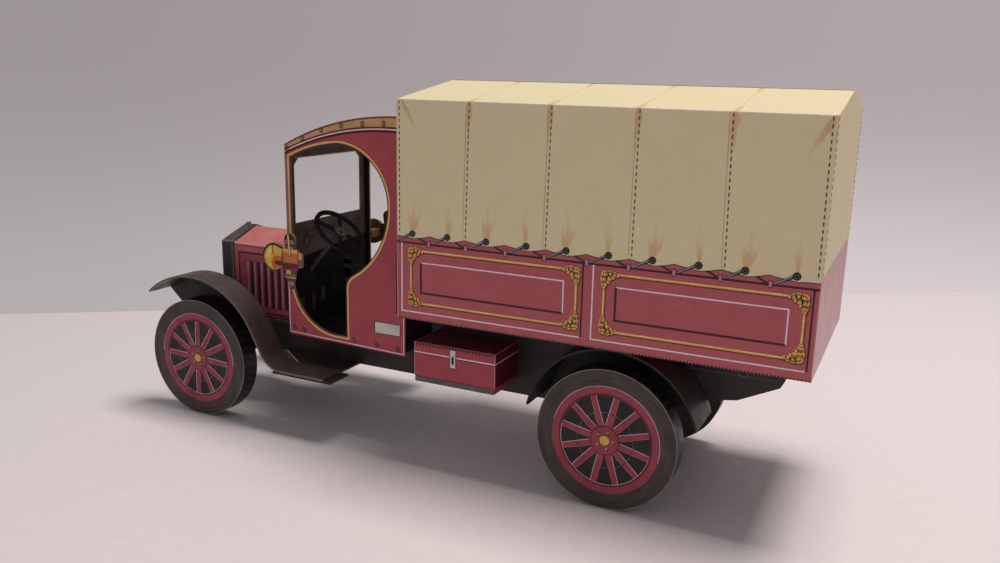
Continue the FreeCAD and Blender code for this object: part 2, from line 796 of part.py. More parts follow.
def front_wing():
    """Front wing strip that sweeps down into the step, its inside valance and the step's layer."""
    thick = size("wing_card")
    outer = size("front_wing_radius")
    inner = outer - thick
    centre = (FRONT_AXLE, size("wheel_radius"))
    tip = size("front_wing_tip_angle")
    back = size("front_wing_back_angle")
    step = size("step_height")
    sweep = size("front_wing_sweep")
    fall = (-math.sin(math.radians(back)), math.cos(math.radians(back)))
    turn = 90 - math.degrees(math.atan2(-fall[0], -fall[1]))
    drop = sweep * (1 - math.cos(math.radians(turn)))

    def lower_run(radius, level, bend):
        start = polar(centre, radius, back)
        straight = (start[1] - level - bend * (1 - math.cos(math.radians(turn)))) / -fall[1]
        bend_start = (start[0] + fall[0] * straight, start[1] + fall[1] * straight)
        bend_end = (bend_start[0] - bend * math.sin(math.radians(turn)), level)
        bend_centre = (bend_end[0], level + bend)
        middle = polar(bend_centre, bend, -90 + turn / 2)
        return start, bend_start, middle, bend_end

    top = lower_run(outer, step, sweep)
    under = lower_run(inner, step - thick, sweep + thick)
    rear = CAB_REAR + size("step_rear")
    mid = (tip + back) / 2
    outline = [
        polar(centre, inner, tip),
        polar(centre, outer, tip),
        (polar(centre, outer, mid), top[0]),
        top[1],
        (top[2], top[3]),
        (rear, step),
        (rear, step - thick),
        under[3],
        (under[2], under[1]),
        under[0],
        (polar(centre, inner, mid), polar(centre, inner, tip)),
    ]
    strip = side_plate(
        "front_wing_strip", [outline], "Sizes.front_wing_outer",
        "Sizes.front_wing_outer - Sizes.front_wing_inner",
    )
    slant = size("step_slant")
    corner = under[3][0]
    rail = size("rail_width") / 2
    inner_y = size("front_wing_inner")
    board = doc.addObject("PartDesign::Body", "step_board")
    sketch = sketch_on(board, "XY_Plane", "step_board_outline")
    draw(sketch, [(rear, rail), (corner + slant, rail), (corner, inner_y), (rear, inner_y)])
    pad = board.newObject("PartDesign::Pad", "step_board_pad")
    pad.Profile = sketch
    pad.setExpression("Length", "Sizes.wing_card")
    sketch.setExpression("AttachmentOffset.Base.z", "Sizes.step_height - Sizes.wing_card")
    left = finished(fuse("front_wing_fuse", strip, board), "front_wing_left")
    finished(mirror("front_wing_mirror", left), "front_wing_right")

    depth = size("valance_depth")
    hang = inner - size("valance_glue")
    low_back = polar(centre, hang, back)
    skirt = [
        polar(centre, hang, tip),
        (polar(centre, hang, mid), low_back),
        (low_back[0] + depth, low_back[1] - depth / 4),
        (FRONT_AXLE + depth, centre[1] + inner - 1.6 * depth),
    ]
    valance = side_plate(
        "valance_card", [skirt], "Sizes.front_wing_inner + Sizes.card", "Sizes.card"
    )
    skirt_left = finished(valance, "wing_valance_left")
    finished(mirror("valance_mirror", skirt_left), "wing_valance_right")

    layer = block(
        "step_layer",
        ("%s + Sizes.step_rear - Sizes.step_layer_out" % X_CAB_REAR, "Sizes.step_layer_length"),
        ("Sizes.front_wing_inner", "Sizes.front_wing_outer - Sizes.front_wing_inner"),
        ("Sizes.step_height - 2 * Sizes.wing_card", "Sizes.wing_card"),
    )
    layer_left = finished(layer, "step_layer_left")
    finished(mirror("step_layer_mirror", layer_left), "step_layer_right")


def rear_wing():
    """Rear wing: a plain curved strip from the frame's side out over the wheel."""
    outer = size("rear_wing_radius")
    inner = outer - size("wing_card")
    centre = (REAR_AXLE, size("wheel_radius"))
    front = size("rear_wing_front_angle")
    back = size("rear_wing_back_angle")
    middle = (front + back) / 2
    outline = [
        polar(centre, inner, front),
        polar(centre, outer, front),
        (polar(centre, outer, middle), polar(centre, outer, back)),
        polar(centre, inner, back),
        (polar(centre, inner, middle), polar(centre, inner, front)),
    ]
    strip = side_plate(
        "rear_wing_strip", [outline], "Sizes.rear_wing_outer",
        "Sizes.rear_wing_outer - Sizes.rail_width / 2",
    )
    left = finished(strip, "rear_wing_left")
    finished(mirror("rear_wing_mirror", left), "rear_wing_right")


def tool_box():
    """Tool box of folded card on the frame's side, with a narrower base under it."""
    start = "%s + Sizes.rear_wing_radius + Sizes.toolbox_wing_gap" % X_REAR_AXLE
    length = "(%s - Sizes.toolbox_gap - %s - Sizes.rear_wing_radius - Sizes.toolbox_wing_gap)" % (
        X_BOX_FRONT, X_REAR_AXLE)
    chest = block(
        "toolbox_chest",
        (start, length),
        ("Sizes.rail_width / 2", "Sizes.toolbox_out - Sizes.rail_width / 2"),
        ("Sizes.toolbox_bottom + Sizes.toolbox_base",
         "Sizes.toolbox_top - Sizes.toolbox_bottom - Sizes.toolbox_base"),
    )
    base = block(
        "toolbox_foot",
        (start + " + Sizes.toolbox_inset", length + " - 2 * Sizes.toolbox_inset"),
        ("Sizes.rail_width / 2", "Sizes.toolbox_out - Sizes.toolbox_inset - Sizes.rail_width / 2"),
        ("Sizes.toolbox_bottom", "Sizes.toolbox_base"),
    )
    left = finished(fuse("toolbox_fuse", chest, base), "toolbox_left")
    finished(mirror("toolbox_mirror", left), "toolbox_right")


load_box()
canvas_cover()
cab()
seat()
steering()
side_lamps()
bonnet()
chassis()
axle_set("front", X_FRONT_AXLE, FRONT_AXLE)
axle_set("rear", X_REAR_AXLE, REAR_AXLE)
front_wing()
rear_wing()
tool_box()
for end, station in (("front", X_FRONT_AXLE), ("rear", X_REAR_AXLE)):
    for name, side in (("left", 1), ("right", -1)):
        wheel("wheel_%s_%s" % (end, name), station, side)

doc.recompute()

faults = [o.Name for o in doc.Objects if "Invalid" in o.State or "Error" in o.State]
if faults:
    raise RuntimeError("failed objects: " + ", ".join(faults))
for obj in PARTS:
    if obj.Shape.isNull() or not obj.Shape.isValid() or not obj.Shape.Solids:
        raise RuntimeError("bad shape: " + obj.Label)

os.makedirs("parts", exist_ok=True)
for obj in PARTS:
    obj.Shape.exportStep(os.path.join("parts", obj.Label + ".step"))
    box = obj.Shape.BoundBox
    print("%-20s solids %d  volume %9.2f  x %7.2f %7.2f  y %7.2f %7.2f  z %7.2f %7.2f" % (
        obj.Label, len(obj.Shape.Solids), obj.Shape.Volume,
        box.XMin, box.XMax, box.YMin, box.YMax, box.ZMin, box.ZMax,
    ))
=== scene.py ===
"""Dresses the printed card lorry: inks, card finishes, small glued parts, floor and light.

Print is drawn flat on a work plane in millimetres, X across and Y up, laid on its wall in metres,
and stands a few hundredths of a millimetre proud of the card.
"""
from __future__ import annotations

import logging
import math
from dataclasses import dataclass
from enum import Enum

import bpy
from mathutils import Matrix, Vector


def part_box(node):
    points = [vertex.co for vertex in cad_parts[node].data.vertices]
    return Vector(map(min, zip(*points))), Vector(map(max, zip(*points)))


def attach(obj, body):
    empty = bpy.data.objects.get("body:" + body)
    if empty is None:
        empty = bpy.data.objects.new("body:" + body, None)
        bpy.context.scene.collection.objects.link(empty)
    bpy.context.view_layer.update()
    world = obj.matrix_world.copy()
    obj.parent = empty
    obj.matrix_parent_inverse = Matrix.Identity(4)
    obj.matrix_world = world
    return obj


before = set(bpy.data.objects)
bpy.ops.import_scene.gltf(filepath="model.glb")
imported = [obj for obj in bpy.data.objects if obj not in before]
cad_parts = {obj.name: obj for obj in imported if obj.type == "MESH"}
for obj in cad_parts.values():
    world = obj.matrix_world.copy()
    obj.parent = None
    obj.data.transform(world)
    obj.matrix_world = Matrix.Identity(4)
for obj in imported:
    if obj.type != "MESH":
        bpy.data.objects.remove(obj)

LOG = logging.getLogger("card_lorry")
MM = 0.001
LAYER = 0.02
PAPER = 1.18
BRIGHTEST = 0.93
EDGE_ON = 0.35
FACE_ON = 0.7
WELD = 0.001
ORIGIN = (0.0, 0.0, 0.0)
AHEAD = (1.0, 0.0, 0.0)
BACK = (-1.0, 0.0, 0.0)
LEFT = (0.0, 1.0, 0.0)
UP = (0.0, 0.0, 1.0)
DOWN = (0.0, 0.0, -1.0)
MIRROR = Matrix.Diagonal((1.0, -1.0, 1.0, 1.0))
NUMBER = "NodeSocketFloat"
Point = tuple[float, float]
Colour = tuple[float, float, float]
Triple = tuple[float, float, float]
Socket = bpy.types.NodeSocket
Thing = bpy.types.Object


class Side(Enum):
    """The two long sides of the lorry, by the sign of Y."""

    LEFT = 1
    RIGHT = -1

    @property
    def word(self) -> str:
        """The side's word in the pieces' names."""
        return self.name.lower()

    @property
    def inwards(self) -> Triple:
        """The direction from this side to the middle."""
        return (0.0, float(-self.value), 0.0)


class Ink(Enum):
    """Printing inks: name, sRGB colour, sRGB second colour and roughness."""

    GOLD = ("gold", (218, 156, 104), (192, 126, 78), 0.42)
    GOLD_LIGHT = ("gold_light", (240, 202, 120), (224, 178, 92), 0.42)
    GOLD_SHADE = ("gold_shade", (100, 56, 30), (78, 44, 26), 0.5)
    WHITE = ("white", (236, 210, 222), (220, 190, 204), 0.5)
    DARK = ("dark", (62, 22, 34), (44, 14, 24), 0.5)
    BLACK = ("black", (30, 26, 28), (18, 16, 18), 0.5)
    ROPE = ("rope", (58, 54, 58), (34, 31, 34), 0.5)
    STEEL = ("steel", (176, 170, 172), (132, 126, 130), 0.45)
    PLATE = ("plate", (206, 202, 192), (184, 178, 168), 0.5)
    # NIGHT is a near-black matt ink for painted shade, low in the cab and on the rear stitch row.
    NIGHT = ("night", (15, 12, 12), (9, 8, 8), 0.95)
    PINK = ("pink", (196, 128, 148), (172, 100, 122), 0.5)
    ROSE = ("rose", (200, 106, 116), (182, 88, 98), 0.5)
    MAUVE = ("mauve", (122, 74, 86), (98, 54, 66), 0.5)
    TAN = ("tan", (198, 154, 106), (172, 128, 86), 0.5)
    STITCH = ("stitch", (84, 72, 52), (58, 48, 36), 0.6)
    HEM = ("hem", (190, 167, 126), (180, 156, 114), 0.6)
    RED = ("red", (150, 60, 74), (130, 48, 62), 0.5)
    RED_DEEP = ("red_deep", (96, 26, 36), (76, 18, 28), 0.5)
    GREY = ("grey", (92, 90, 84), (66, 64, 60), 0.5)
    ORANGE = ("orange", (196, 108, 56), (168, 84, 42), 0.45)
    YELLOW = ("yellow", (214, 174, 74), (194, 148, 56), 0.42)
    BROWN = ("brown", (84, 60, 50), (60, 42, 36), 0.5)
    DUSK = ("dusk", (144, 110, 102), (120, 88, 82), 0.5)


class Slot(Enum):
    """The record's material slots of the cards that the scene's print lies on."""

    CREAM = "cream_card"
    RED = "red_card"
    BLACK = "black_card"
    WHEEL = "wheel_card"
    STEERING = "steering_card"
    LAMP = "lamp_card"


def linear(colour: Colour) -> tuple[float, float, float, float]:
    """Turns the sRGB colour of print, 0 to 255, into linear reflectance with alpha.

    Args:
        colour: The three sRGB values.

    Returns:
        The linear colour with alpha 1.
    """
    def channel(value: float) -> float:
        """Gives one channel's linear value."""
        v = value / 255.0
        return min(BRIGHTEST, PAPER * (v / 12.92 if v <= 0.04045 else ((v + 0.055) / 1.055) ** 2.4))

    return (*(channel(v) for v in colour), 1.0)


# ---------------------------------------------------------------- shader benches


class Bench:
    """A node tree with short calls for the nodes that the finishes are made of."""

    def __init__(self, tree: bpy.types.NodeTree) -> None:
        """Keeps the tree.

        Args:
            tree: The material's or the group's node tree.
        """
        self.tree = tree

    def add(self, kind: str, **settings: object) -> bpy.types.Node:
        """Adds a node.

        Args:
            kind: The node's type name.
            **settings: Attributes to set on it.

        Returns:
            The new node.
        """
        node = self.tree.nodes.new(kind)
        for key, value in settings.items():
            setattr(node, key, value)
        return node

    def feed(self, socket: Socket, value: object) -> None:
        """Links an output to a socket or writes a number on it.

        Args:
            socket: The input socket.
            value: An output socket, a number, a vector or a colour.
        """
        if isinstance(value, Socket):
            self.tree.links.new(value, socket)
        else:
            socket.default_value = value

    def math(self, operation: str, *values: object) -> Socket:
        """Adds a Math node.

        Args:
            operation: The Math node's operation.
            *values: Its inputs, sockets or numbers.

        Returns:
            The result.
        """
        node = self.add("ShaderNodeMath", operation=operation)
        for socket, value in zip(node.inputs, values):
            self.feed(socket, value)
        return node.outputs[0]

    def vector(self, operation: str, *values: object) -> Socket:
        """Adds a Vector Math node.

        Args:
            operation: The Vector Math node's operation.
            *values: Its inputs, sockets or vectors.

        Returns:
            The vector, or the value of a dot product or a length.
        """
        node = self.add("ShaderNodeVectorMath", operation=operation)
        for socket, value in zip(node.inputs, values):
            self.feed(socket, value)
        return node.outputs["Value" if operation in ("DOT_PRODUCT", "LENGTH") else "Vector"]

    def split(self, vector: Socket) -> tuple[Socket, ...]:
        """Gives the three parts of a vector.

        Args:
            vector: The vector's socket.

        Returns:
            The sockets of X, Y and Z.
        """
        node = self.add("ShaderNodeSeparateXYZ")
        self.feed(node.inputs[0], vector)
        return tuple(node.outputs)

    def noise(self, vector: object, scale: float, detail: float = 2.0) -> Socket:
        """Adds a Noise Texture.

        Args:
            vector: The coordinates.
            scale: Its scale, in repeats for each metre.
            detail: Its detail.

        Returns:
            The noise's value.
        """
        node = self.add("ShaderNodeTexNoise")
        self.feed(node.inputs["Vector"], vector)
        node.inputs["Scale"].default_value = scale
        node.inputs["Detail"].default_value = detail
        return node.outputs[0]

    def ramp(self, value: object, low: object, high: object) -> Socket:
        """Maps a value from a range to 0 to 1, smoothly.

        Args:
            value: The value.
            low: Where the result is 0.
            high: Where the result is 1.

        Returns:
            The mapped value.
        """
        node = self.add("ShaderNodeMapRange", interpolation_type="SMOOTHSTEP")
        self.feed(node.inputs["Value"], value)
        self.feed(node.inputs["From Min"], low)
        self.feed(node.inputs["From Max"], high)
        return node.outputs["Result"]

    def mix(self, share: object, first: object, second: object) -> Socket:
        """Mixes two colours.

        Args:
            share: How much of the second colour there is.
            first: The first colour.
            second: The second colour.

        Returns:
            The mixed colour.
        """
        node = self.add("ShaderNodeMix", data_type="RGBA")
        self.feed(node.inputs["Factor"], share)
        self.feed(node.inputs[6], first)
        self.feed(node.inputs[7], second)
        return node.outputs[2]

    def place(self, group: bpy.types.NodeTree, **values: object) -> bpy.types.Node:
        """Places a shader group and fills its inputs.

        Args:
            group: The group.
            **values: Its inputs by name, with spaces written as underscores.

        Returns:
            The group's node.
        """
        node = self.add("ShaderNodeGroup", node_tree=group)
        for key, value in values.items():
            self.feed(node.inputs[key.replace("_", " ")], value)
        return node

    @property
    def spot(self) -> Socket:
        """The Object coordinates."""
        return self.add("ShaderNodeTexCoord").outputs["Object"]

    @property
    def normal(self) -> Socket:
        """The normal in the object's own space."""
        return self.add("ShaderNodeTexCoord").outputs["Normal"]

    def product(self, first: object, second: object) -> Socket:
        """Multiplies two values.

        Args:
            first: The first value.
            second: The second value.

        Returns:
            Their product.
        """
        return self.math("MULTIPLY", first, second)

    def less(self, first: object, second: object) -> Socket:
        """Takes one value from another.

        Args:
            first: The value.
            second: What is taken from it.

        Returns:
            The difference.
        """
        return self.math("SUBTRACT", first, second)

    def size_of(self, value: object) -> Socket:
        """Drops a value's sign.

        Args:
            value: The value.

        Returns:
            Its absolute value.
        """
        return self.math("ABSOLUTE", value)

    def faces(self, index: int) -> Socket:
        """Tells where the surface faces along one axis, either way.

        Args:
            index: The axis, 0 to 2.

        Returns:
            The mask.
        """
        return self.math("GREATER_THAN", self.size_of(self.split(self.normal)[index]), FACE_ON)


def shader_group(
    name: str, inputs: dict[str, object], outputs: dict[str, str]
) -> tuple[Bench, bpy.types.Node, bpy.types.Node]:
    """Starts a shader group with named sockets.

    Args:
        name: The group's name.
        inputs: Each input's name and first value, whose type gives the socket's type.
        outputs: Each output's name and socket type.

    Returns:
        The group's bench, its input node and its output node.
    """
    tree = bpy.data.node_groups.new(name, "ShaderNodeTree")
    for key, value in inputs.items():
        kind = NUMBER
        if isinstance(value, tuple):
            kind = "NodeSocketColor" if len(value) == 4 else "NodeSocketVector"
        socket = tree.interface.new_socket(key, in_out="INPUT", socket_type=kind)
        socket.default_value = value
    for key, kind in outputs.items():
        tree.interface.new_socket(key, in_out="OUTPUT", socket_type=kind)
    bench = Bench(tree)
    return bench, bench.add("NodeGroupInput"), bench.add("NodeGroupOutput")


class ShaderGroups:
    """The effects that several finishes share, each made once."""

    def __init__(self) -> None:
        """Makes the groups."""
        self.grain = self.make_grain()
        self.cut_edge = self.make_cut_edge()
        self.fold = self.make_fold()
        self.finger = self.make_finger()
        self.polar = self.make_polar()

    @staticmethod
    def make_polar() -> bpy.types.NodeTree:
        """Makes the distance from an axle and the angle about it.

        Returns:
            The group, with the two values.
        """
        bench, inside, outside = shader_group(
            "about_the_axle", {"Centre": ORIGIN}, {"Radius": NUMBER, "Turn": NUMBER}
        )
        x, _, z = bench.split(bench.vector("SUBTRACT", bench.spot, inside.outputs["Centre"]))
        across = bench.product(x, x)
        radius = bench.math("SQRT", bench.math("MULTIPLY_ADD", z, z, across))
        bench.feed(outside.inputs["Radius"], radius)
        bench.feed(outside.inputs["Turn"], bench.math("ARCTAN2", z, x))
        return bench.tree

    @staticmethod
    def make_grain() -> bpy.types.NodeTree:
        """Makes the printed paper: ink that varies, fine dots and paper fibre.

        Returns:
            The group, with the printed colour, a height and a roughness.
        """
        white = (1.0, 1.0, 1.0, 1.0)
        bench, inside, outside = shader_group(
            "printed_paper",
            {"Ink": white, "Second ink": white, "Mottle": 0.5, "Dots": 0.3, "Roughness": 0.5},
            {"Color": "NodeSocketColor", "Height": NUMBER, "Roughness": NUMBER},
        )
        place = bench.spot
        cloud = bench.ramp(bench.noise(place, 210.0, 4.0), 0.32, 0.72)
        share = bench.product(cloud, inside.outputs["Mottle"])
        colour = bench.mix(share, inside.outputs["Ink"], inside.outputs["Second ink"])
        dots = bench.noise(place, 2600.0, 1.0)
        spread = bench.product(bench.less(dots, 0.5), inside.outputs["Dots"])
        tone = bench.vector("SCALE", colour)
        bench.feed(tone.node.inputs["Scale"], bench.math("MULTIPLY_ADD", spread, 2.0, 1.0))
        fibre = bench.noise(bench.vector("MULTIPLY", place, (1.0, 2.6, 1.7)), 1500.0, 3.0)
        bench.feed(outside.inputs["Color"], tone)
        bench.feed(outside.inputs["Height"], fibre)
        shine = bench.math(
            "MULTIPLY_ADD", bench.less(cloud, 0.5), 0.16, inside.outputs["Roughness"]
        )
        bench.feed(outside.inputs["Roughness"], shine)
        return bench.tree

    @staticmethod
    def make_cut_edge() -> bpy.types.NodeTree:
        """Makes the mask of a sheet's cut edges, which face across the sheet's own normal.

        Returns:
            The group, with a mask.
        """
        bench, inside, outside = shader_group(
            "cut_card_edge", {"Sheet normal": LEFT}, {"Mask": NUMBER}
        )
        along = bench.vector("DOT_PRODUCT", bench.normal, inside.outputs["Sheet normal"])
        bench.feed(outside.inputs["Mask"], bench.math("LESS_THAN", bench.size_of(along), EDGE_ON))
        return bench.tree

    @staticmethod
    def make_fold() -> bpy.types.NodeTree:
        """Makes the mask of a box's folded edges, where the ink has cracked off the paper.

        Returns:
            The group, with a mask.
        """
        bench, inside, outside = shader_group(
            "worn_fold",
            {"Low": ORIGIN, "High": (1.0, 1.0, 1.0), "Width": 0.0004, "Wear": 0.5},
            {"Mask": NUMBER},
        )
        place = bench.spot
        near, far = (
            bench.vector("ABSOLUTE", bench.vector("SUBTRACT", place, inside.outputs[end]))
            for end in ("Low", "High")
        )
        x, y, z = bench.split(bench.vector("MINIMUM", near, far))
        low = bench.math("MINIMUM", x, y)
        high = bench.math("MAXIMUM", x, y)
        middle = bench.math("MAXIMUM", low, bench.math("MINIMUM", high, z))
        crack = bench.noise(place, 900.0, 3.0)
        reach = bench.product(inside.outputs["Width"], bench.math("MULTIPLY_ADD", crack, 1.6, 0.2))
        edge = bench.less(1.0, bench.ramp(middle, bench.product(reach, 0.4), reach))
        bench.feed(outside.inputs["Mask"], bench.product(edge, inside.outputs["Wear"]))
        return bench.tree

    @staticmethod
    def make_finger() -> bpy.types.NodeTree:
        """Makes one soft finger of a rain stain, widest over its foot and pointed at its top.

        Returns:
            The group, with a mask.
        """
        bench, inside, outside = shader_group(
            "stain_finger",
            {
                "Across": 0.0, "Up": 0.0, "Lean": 0.0, "Tall": 0.01, "Half width": 0.001,
                "Offset": 0.0,
            },
            {"Mask": NUMBER},
        )
        up = bench.math("DIVIDE", inside.outputs["Up"], inside.outputs["Tall"])
        bent = bench.math(
            "MULTIPLY_ADD", inside.outputs["Up"], inside.outputs["Lean"], inside.outputs["Offset"]
        )
        away = bench.size_of(bench.less(inside.outputs["Across"], bent))
        blunt = bench.math("POWER", bench.math("MAXIMUM", bench.less(1.0, up), 0.0), 0.6)
        swell = bench.product(blunt, inside.outputs["Half width"])
        swell = bench.math("MULTIPLY_ADD", swell, bench.ramp(up, -0.25, 0.4), 0.00012)
        body = bench.less(1.0, bench.ramp(away, bench.product(swell, 0.3), swell))
        fade = bench.less(1.0, bench.ramp(up, 0.3, 1.05))
        foot = bench.ramp(inside.outputs["Up"], -0.0004, 0.0008)
        mask = bench.product(bench.product(body, fade), foot)
        bench.feed(outside.inputs["Mask"], mask)
        return bench.tree


GROUPS = ShaderGroups()


@dataclass(frozen=True)
class CardFinish:
    """A sheet of printed card: its ink, its cut edges and its folds."""

    name: str
    ink: Colour
    second: Colour
    core: Colour = (196, 180, 166)
    mottle: float = 0.6
    dots: float = 0.25
    roughness: float = 0.48
    bump: float = 0.12
    coat: float = 0.0
    sheet_normal: Triple | None = None
    fold_box: tuple[Vector, Vector] | None = None
    fold_width: float = 0.0004
    fold_wear: float = 0.6
    # The lining colour is a sheet's other face, and on some finishes painted highlight or painted
    # shade on the faces that point one way.
    lining: Colour | None = None
    lining_second: Colour = (40, 30, 28)
    lining_normal: Triple = DOWN

    def start(self) -> tuple[bpy.types.Material, Bench, bpy.types.Node]:
        """Starts the material with its Principled BSDF.

        Returns:
            The material, its bench and the Principled BSDF.
        """
        material = bpy.data.materials.new(self.name)
        material.use_nodes = True
        bench = Bench(material.node_tree)
        shader = material.node_tree.nodes["Principled BSDF"]
        shader.inputs["Specular IOR Level"].default_value = 0.35
        shader.inputs["Coat Weight"].default_value = self.coat
        shader.inputs["Coat Roughness"].default_value = 0.35
        return material, bench, shader

    def lined(self, bench: Bench, colour: Socket) -> Socket:
        """Gives the faces that point one way their own ink: the sheet's other face, and on some
        finishes a top or inner face painted lighter as painted highlight or darker as painted
        shade.

        Args:
            bench: The material's bench.
            colour: The first face's colour.

        Returns:
            The colour of both faces.
        """
        if self.lining is None:
            return colour
        inner = bench.place(
            GROUPS.grain, Ink=linear(self.lining), Second_ink=linear(self.lining_second),
            Mottle=0.9, Dots=self.dots, Roughness=self.roughness,
        )
        facing = bench.vector("DOT_PRODUCT", bench.normal, self.lining_normal)
        share = bench.math("GREATER_THAN", facing, EDGE_ON)
        return bench.mix(share, colour, inner.outputs["Color"])

    def colour(self, bench: Bench, paper: bpy.types.Node) -> Socket:
        """Gives the colour with its cut edges and worn folds.

        Args:
            bench: The material's bench.
            paper: The printed paper group's node.

        Returns:
            The colour.
        """
        colour = self.lined(bench, paper.outputs["Color"])
        if self.fold_box is not None:
            low, high = self.fold_box
            worn = bench.place(
                GROUPS.fold, Low=low, High=high, Width=self.fold_width, Wear=self.fold_wear
            )
            colour = bench.mix(worn.outputs["Mask"], colour, linear(self.core))
        if self.sheet_normal is not None:
            cut = bench.place(GROUPS.cut_edge, Sheet_normal=self.sheet_normal)
            colour = bench.mix(cut.outputs["Mask"], colour, linear(self.core))
        return colour

    def material(self) -> bpy.types.Material:
        """Makes the material.

        Returns:
            The material.
        """
        material, bench, shader = self.start()
        paper = bench.place(
            GROUPS.grain, Ink=linear(self.ink), Second_ink=linear(self.second),
            Mottle=self.mottle, Dots=self.dots, Roughness=self.roughness,
        )
        bench.feed(shader.inputs["Base Color"], self.colour(bench, paper))
        bench.feed(shader.inputs["Roughness"], paper.outputs["Roughness"])
        self.emboss(bench, shader, paper.outputs["Height"])
        return material

    def emboss(self, bench: Bench, shader: bpy.types.Node, height: Socket) -> None:
        """Gives the surface its paper relief.

        Args:
            bench: The material's bench.
            shader: The Principled BSDF.
            height: The relief's height.
        """
        relief = bench.add("ShaderNodeBump")
        relief.inputs["Strength"].default_value = self.bump
        relief.inputs["Distance"].default_value = 0.0001
        bench.feed(relief.inputs["Height"], height)
        bench.feed(shader.inputs["Normal"], relief.outputs["Normal"])


@dataclass(frozen=True)
class CanvasFinish(CardFinish):
    """The cover's printed canvas, with rain stains over the eyelets and at the seams."""

    stain: Colour = (200, 162, 112)
    eyelet_front: float = 0.00195
    eyelet_pitch: float = 0.01109
    hem: float = 0.0686
    eave: float = 0.1036
    half_width: float = 0.03125
    seam_front: float = -0.0148
    seam_pitch: float = 0.02225
    foot_fingers: tuple[tuple[float, ...], ...] = (
        (0, -0.10, 6.4, 1.9, 0.0, 0.9), (0, -0.42, 6.8, 0.85, -0.2, 0.8),
        (0, 0.14, 6.4, 0.8, 0.3, 0.8), (0, -0.04, 12.5, 0.8, -0.1, 0.35),
        (1, 0.0, 6.0, 1.0, 0.0, 0.9), (1, 0.10, 8.0, 0.45, 0.2, 0.6),
        (1, -0.12, 6.0, 0.5, -0.2, 0.7), (1, 0.0, 12.0, 0.5, 0.0, 0.3),
    )
    seam_fingers: tuple[tuple[float, ...], ...] = ((0.03, 11.0, 1.2, 0.1), (0.0, 7.0, 1.5, 0.0))
    corner_fingers: tuple[tuple[float, ...], ...] = (
        (0.0205, -0.55, 9.0, 1.0, -0.4), (-0.0885, 0.55, 9.8, 1.6, 0.6),
    )

    def colour(self, bench: Bench, paper: bpy.types.Node) -> Socket:
        """Gives the canvas's colour with its stains.

        Args:
            bench: The material's bench.
            paper: The printed paper group's node.

        Returns:
            The colour.
        """
        return bench.mix(self.stains(bench), super().colour(bench, paper), linear(self.stain))

    def finger(
        self, bench: Bench, across: Socket, up: Socket,
        lean: float, tall: float, half: float, offset: float,
    ) -> Socket:
        """Places one finger of a stain, its sizes in millimetres.

        Args:
            bench: The material's bench.
            across: The distance across its foot.
            up: The distance from its foot.
            lean: How far it leans for each step up.
            tall: How tall it is.
            half: Half its width.
            offset: How far its foot is moved.

        Returns:
            Its mask.
        """
        return bench.place(
            GROUPS.finger, Across=across, Up=up, Lean=lean, Tall=tall * MM,
            Half_width=half * MM, Offset=offset * MM,
        ).outputs["Mask"]

    @staticmethod
    def repeated(bench: Bench, x: Socket, start: float, period: float) -> Socket:
        """Gives the distance from the nearest of many even stations.

        Args:
            bench: The material's bench.
            x: The coordinate.
            start: Where one station is.
            period: The distance between two stations.

        Returns:
            The distance, with its sign.
        """
        across = bench.less(x, start - period / 2)
        return bench.less(bench.math("FLOORED_MODULO", across, period), period / 2)

    def stains(self, bench: Bench) -> Socket:
        """Draws the rain stains on the long sides and the stained seams of the roof.

        Args:
            bench: The material's bench.

        Returns:
            The stains' mask.
        """
        place = bench.spot
        x, _, z = bench.split(place)
        sway = bench.math("MULTIPLY_ADD", bench.noise(place, 420.0), 0.0012, -0.0006)
        wander = bench.math("ADD", x, sway)
        up, drop = bench.less(z, self.hem), bench.less(self.eave, z)
        masks = []
        for turn, lean, tall, half, offset, weight in self.foot_fingers:
            station = self.eyelet_front + self.eyelet_pitch * turn
            centred = self.repeated(bench, wander, station, 2.0 * self.eyelet_pitch)
            finger = self.finger(bench, centred, up, lean, tall, half, offset)
            masks.append(bench.product(finger, weight))
        seams = self.repeated(bench, wander, self.seam_front, self.seam_pitch)
        for sizes in self.seam_fingers:
            masks.append(self.finger(bench, seams, drop, *sizes))
        for away, *sizes in self.corner_fingers:
            corner = bench.less(wander, self.seam_front + away)
            masks.append(self.finger(bench, corner, drop, *sizes))
        total = masks[0]
        for mask in masks[1:]:
            total = bench.math("MAXIMUM", total, mask)
        drawn = bench.vector("MULTIPLY", place, (1.0, 1.0, 0.25))
        streak = bench.ramp(bench.noise(drawn, 1500.0), 0.1, 0.75)
        shade = bench.product(total, bench.math("MULTIPLY_ADD", streak, 0.4, 0.6))
        upward = bench.math("GREATER_THAN", bench.split(bench.normal)[2], FACE_ON)
        roof = bench.product(self.roof_seam(bench, seams), upward)
        return bench.math("MAXIMUM", bench.product(shade, bench.faces(1)), roof)

    def roof_seam(self, bench: Bench, away: Socket) -> Socket:
        """Draws the roof's seams, thin in the middle and stained at the eave and the ridge.

        Args:
            bench: The material's bench.
            away: The distance from the nearest seam.

        Returns:
            The seams' mask.
        """
        y = bench.split(bench.spot)[1]
        far = bench.size_of(bench.less(bench.size_of(y), self.half_width / 2))
        ends = bench.ramp(far, self.half_width * 0.22, self.half_width * 0.5)
        away = bench.size_of(away)
        reach = bench.math("MULTIPLY_ADD", ends, 0.0011, 0.0003)
        band = bench.less(1.0, bench.ramp(away, 0.0, reach))
        return bench.product(band, bench.math("MULTIPLY_ADD", ends, 0.35, 0.6))


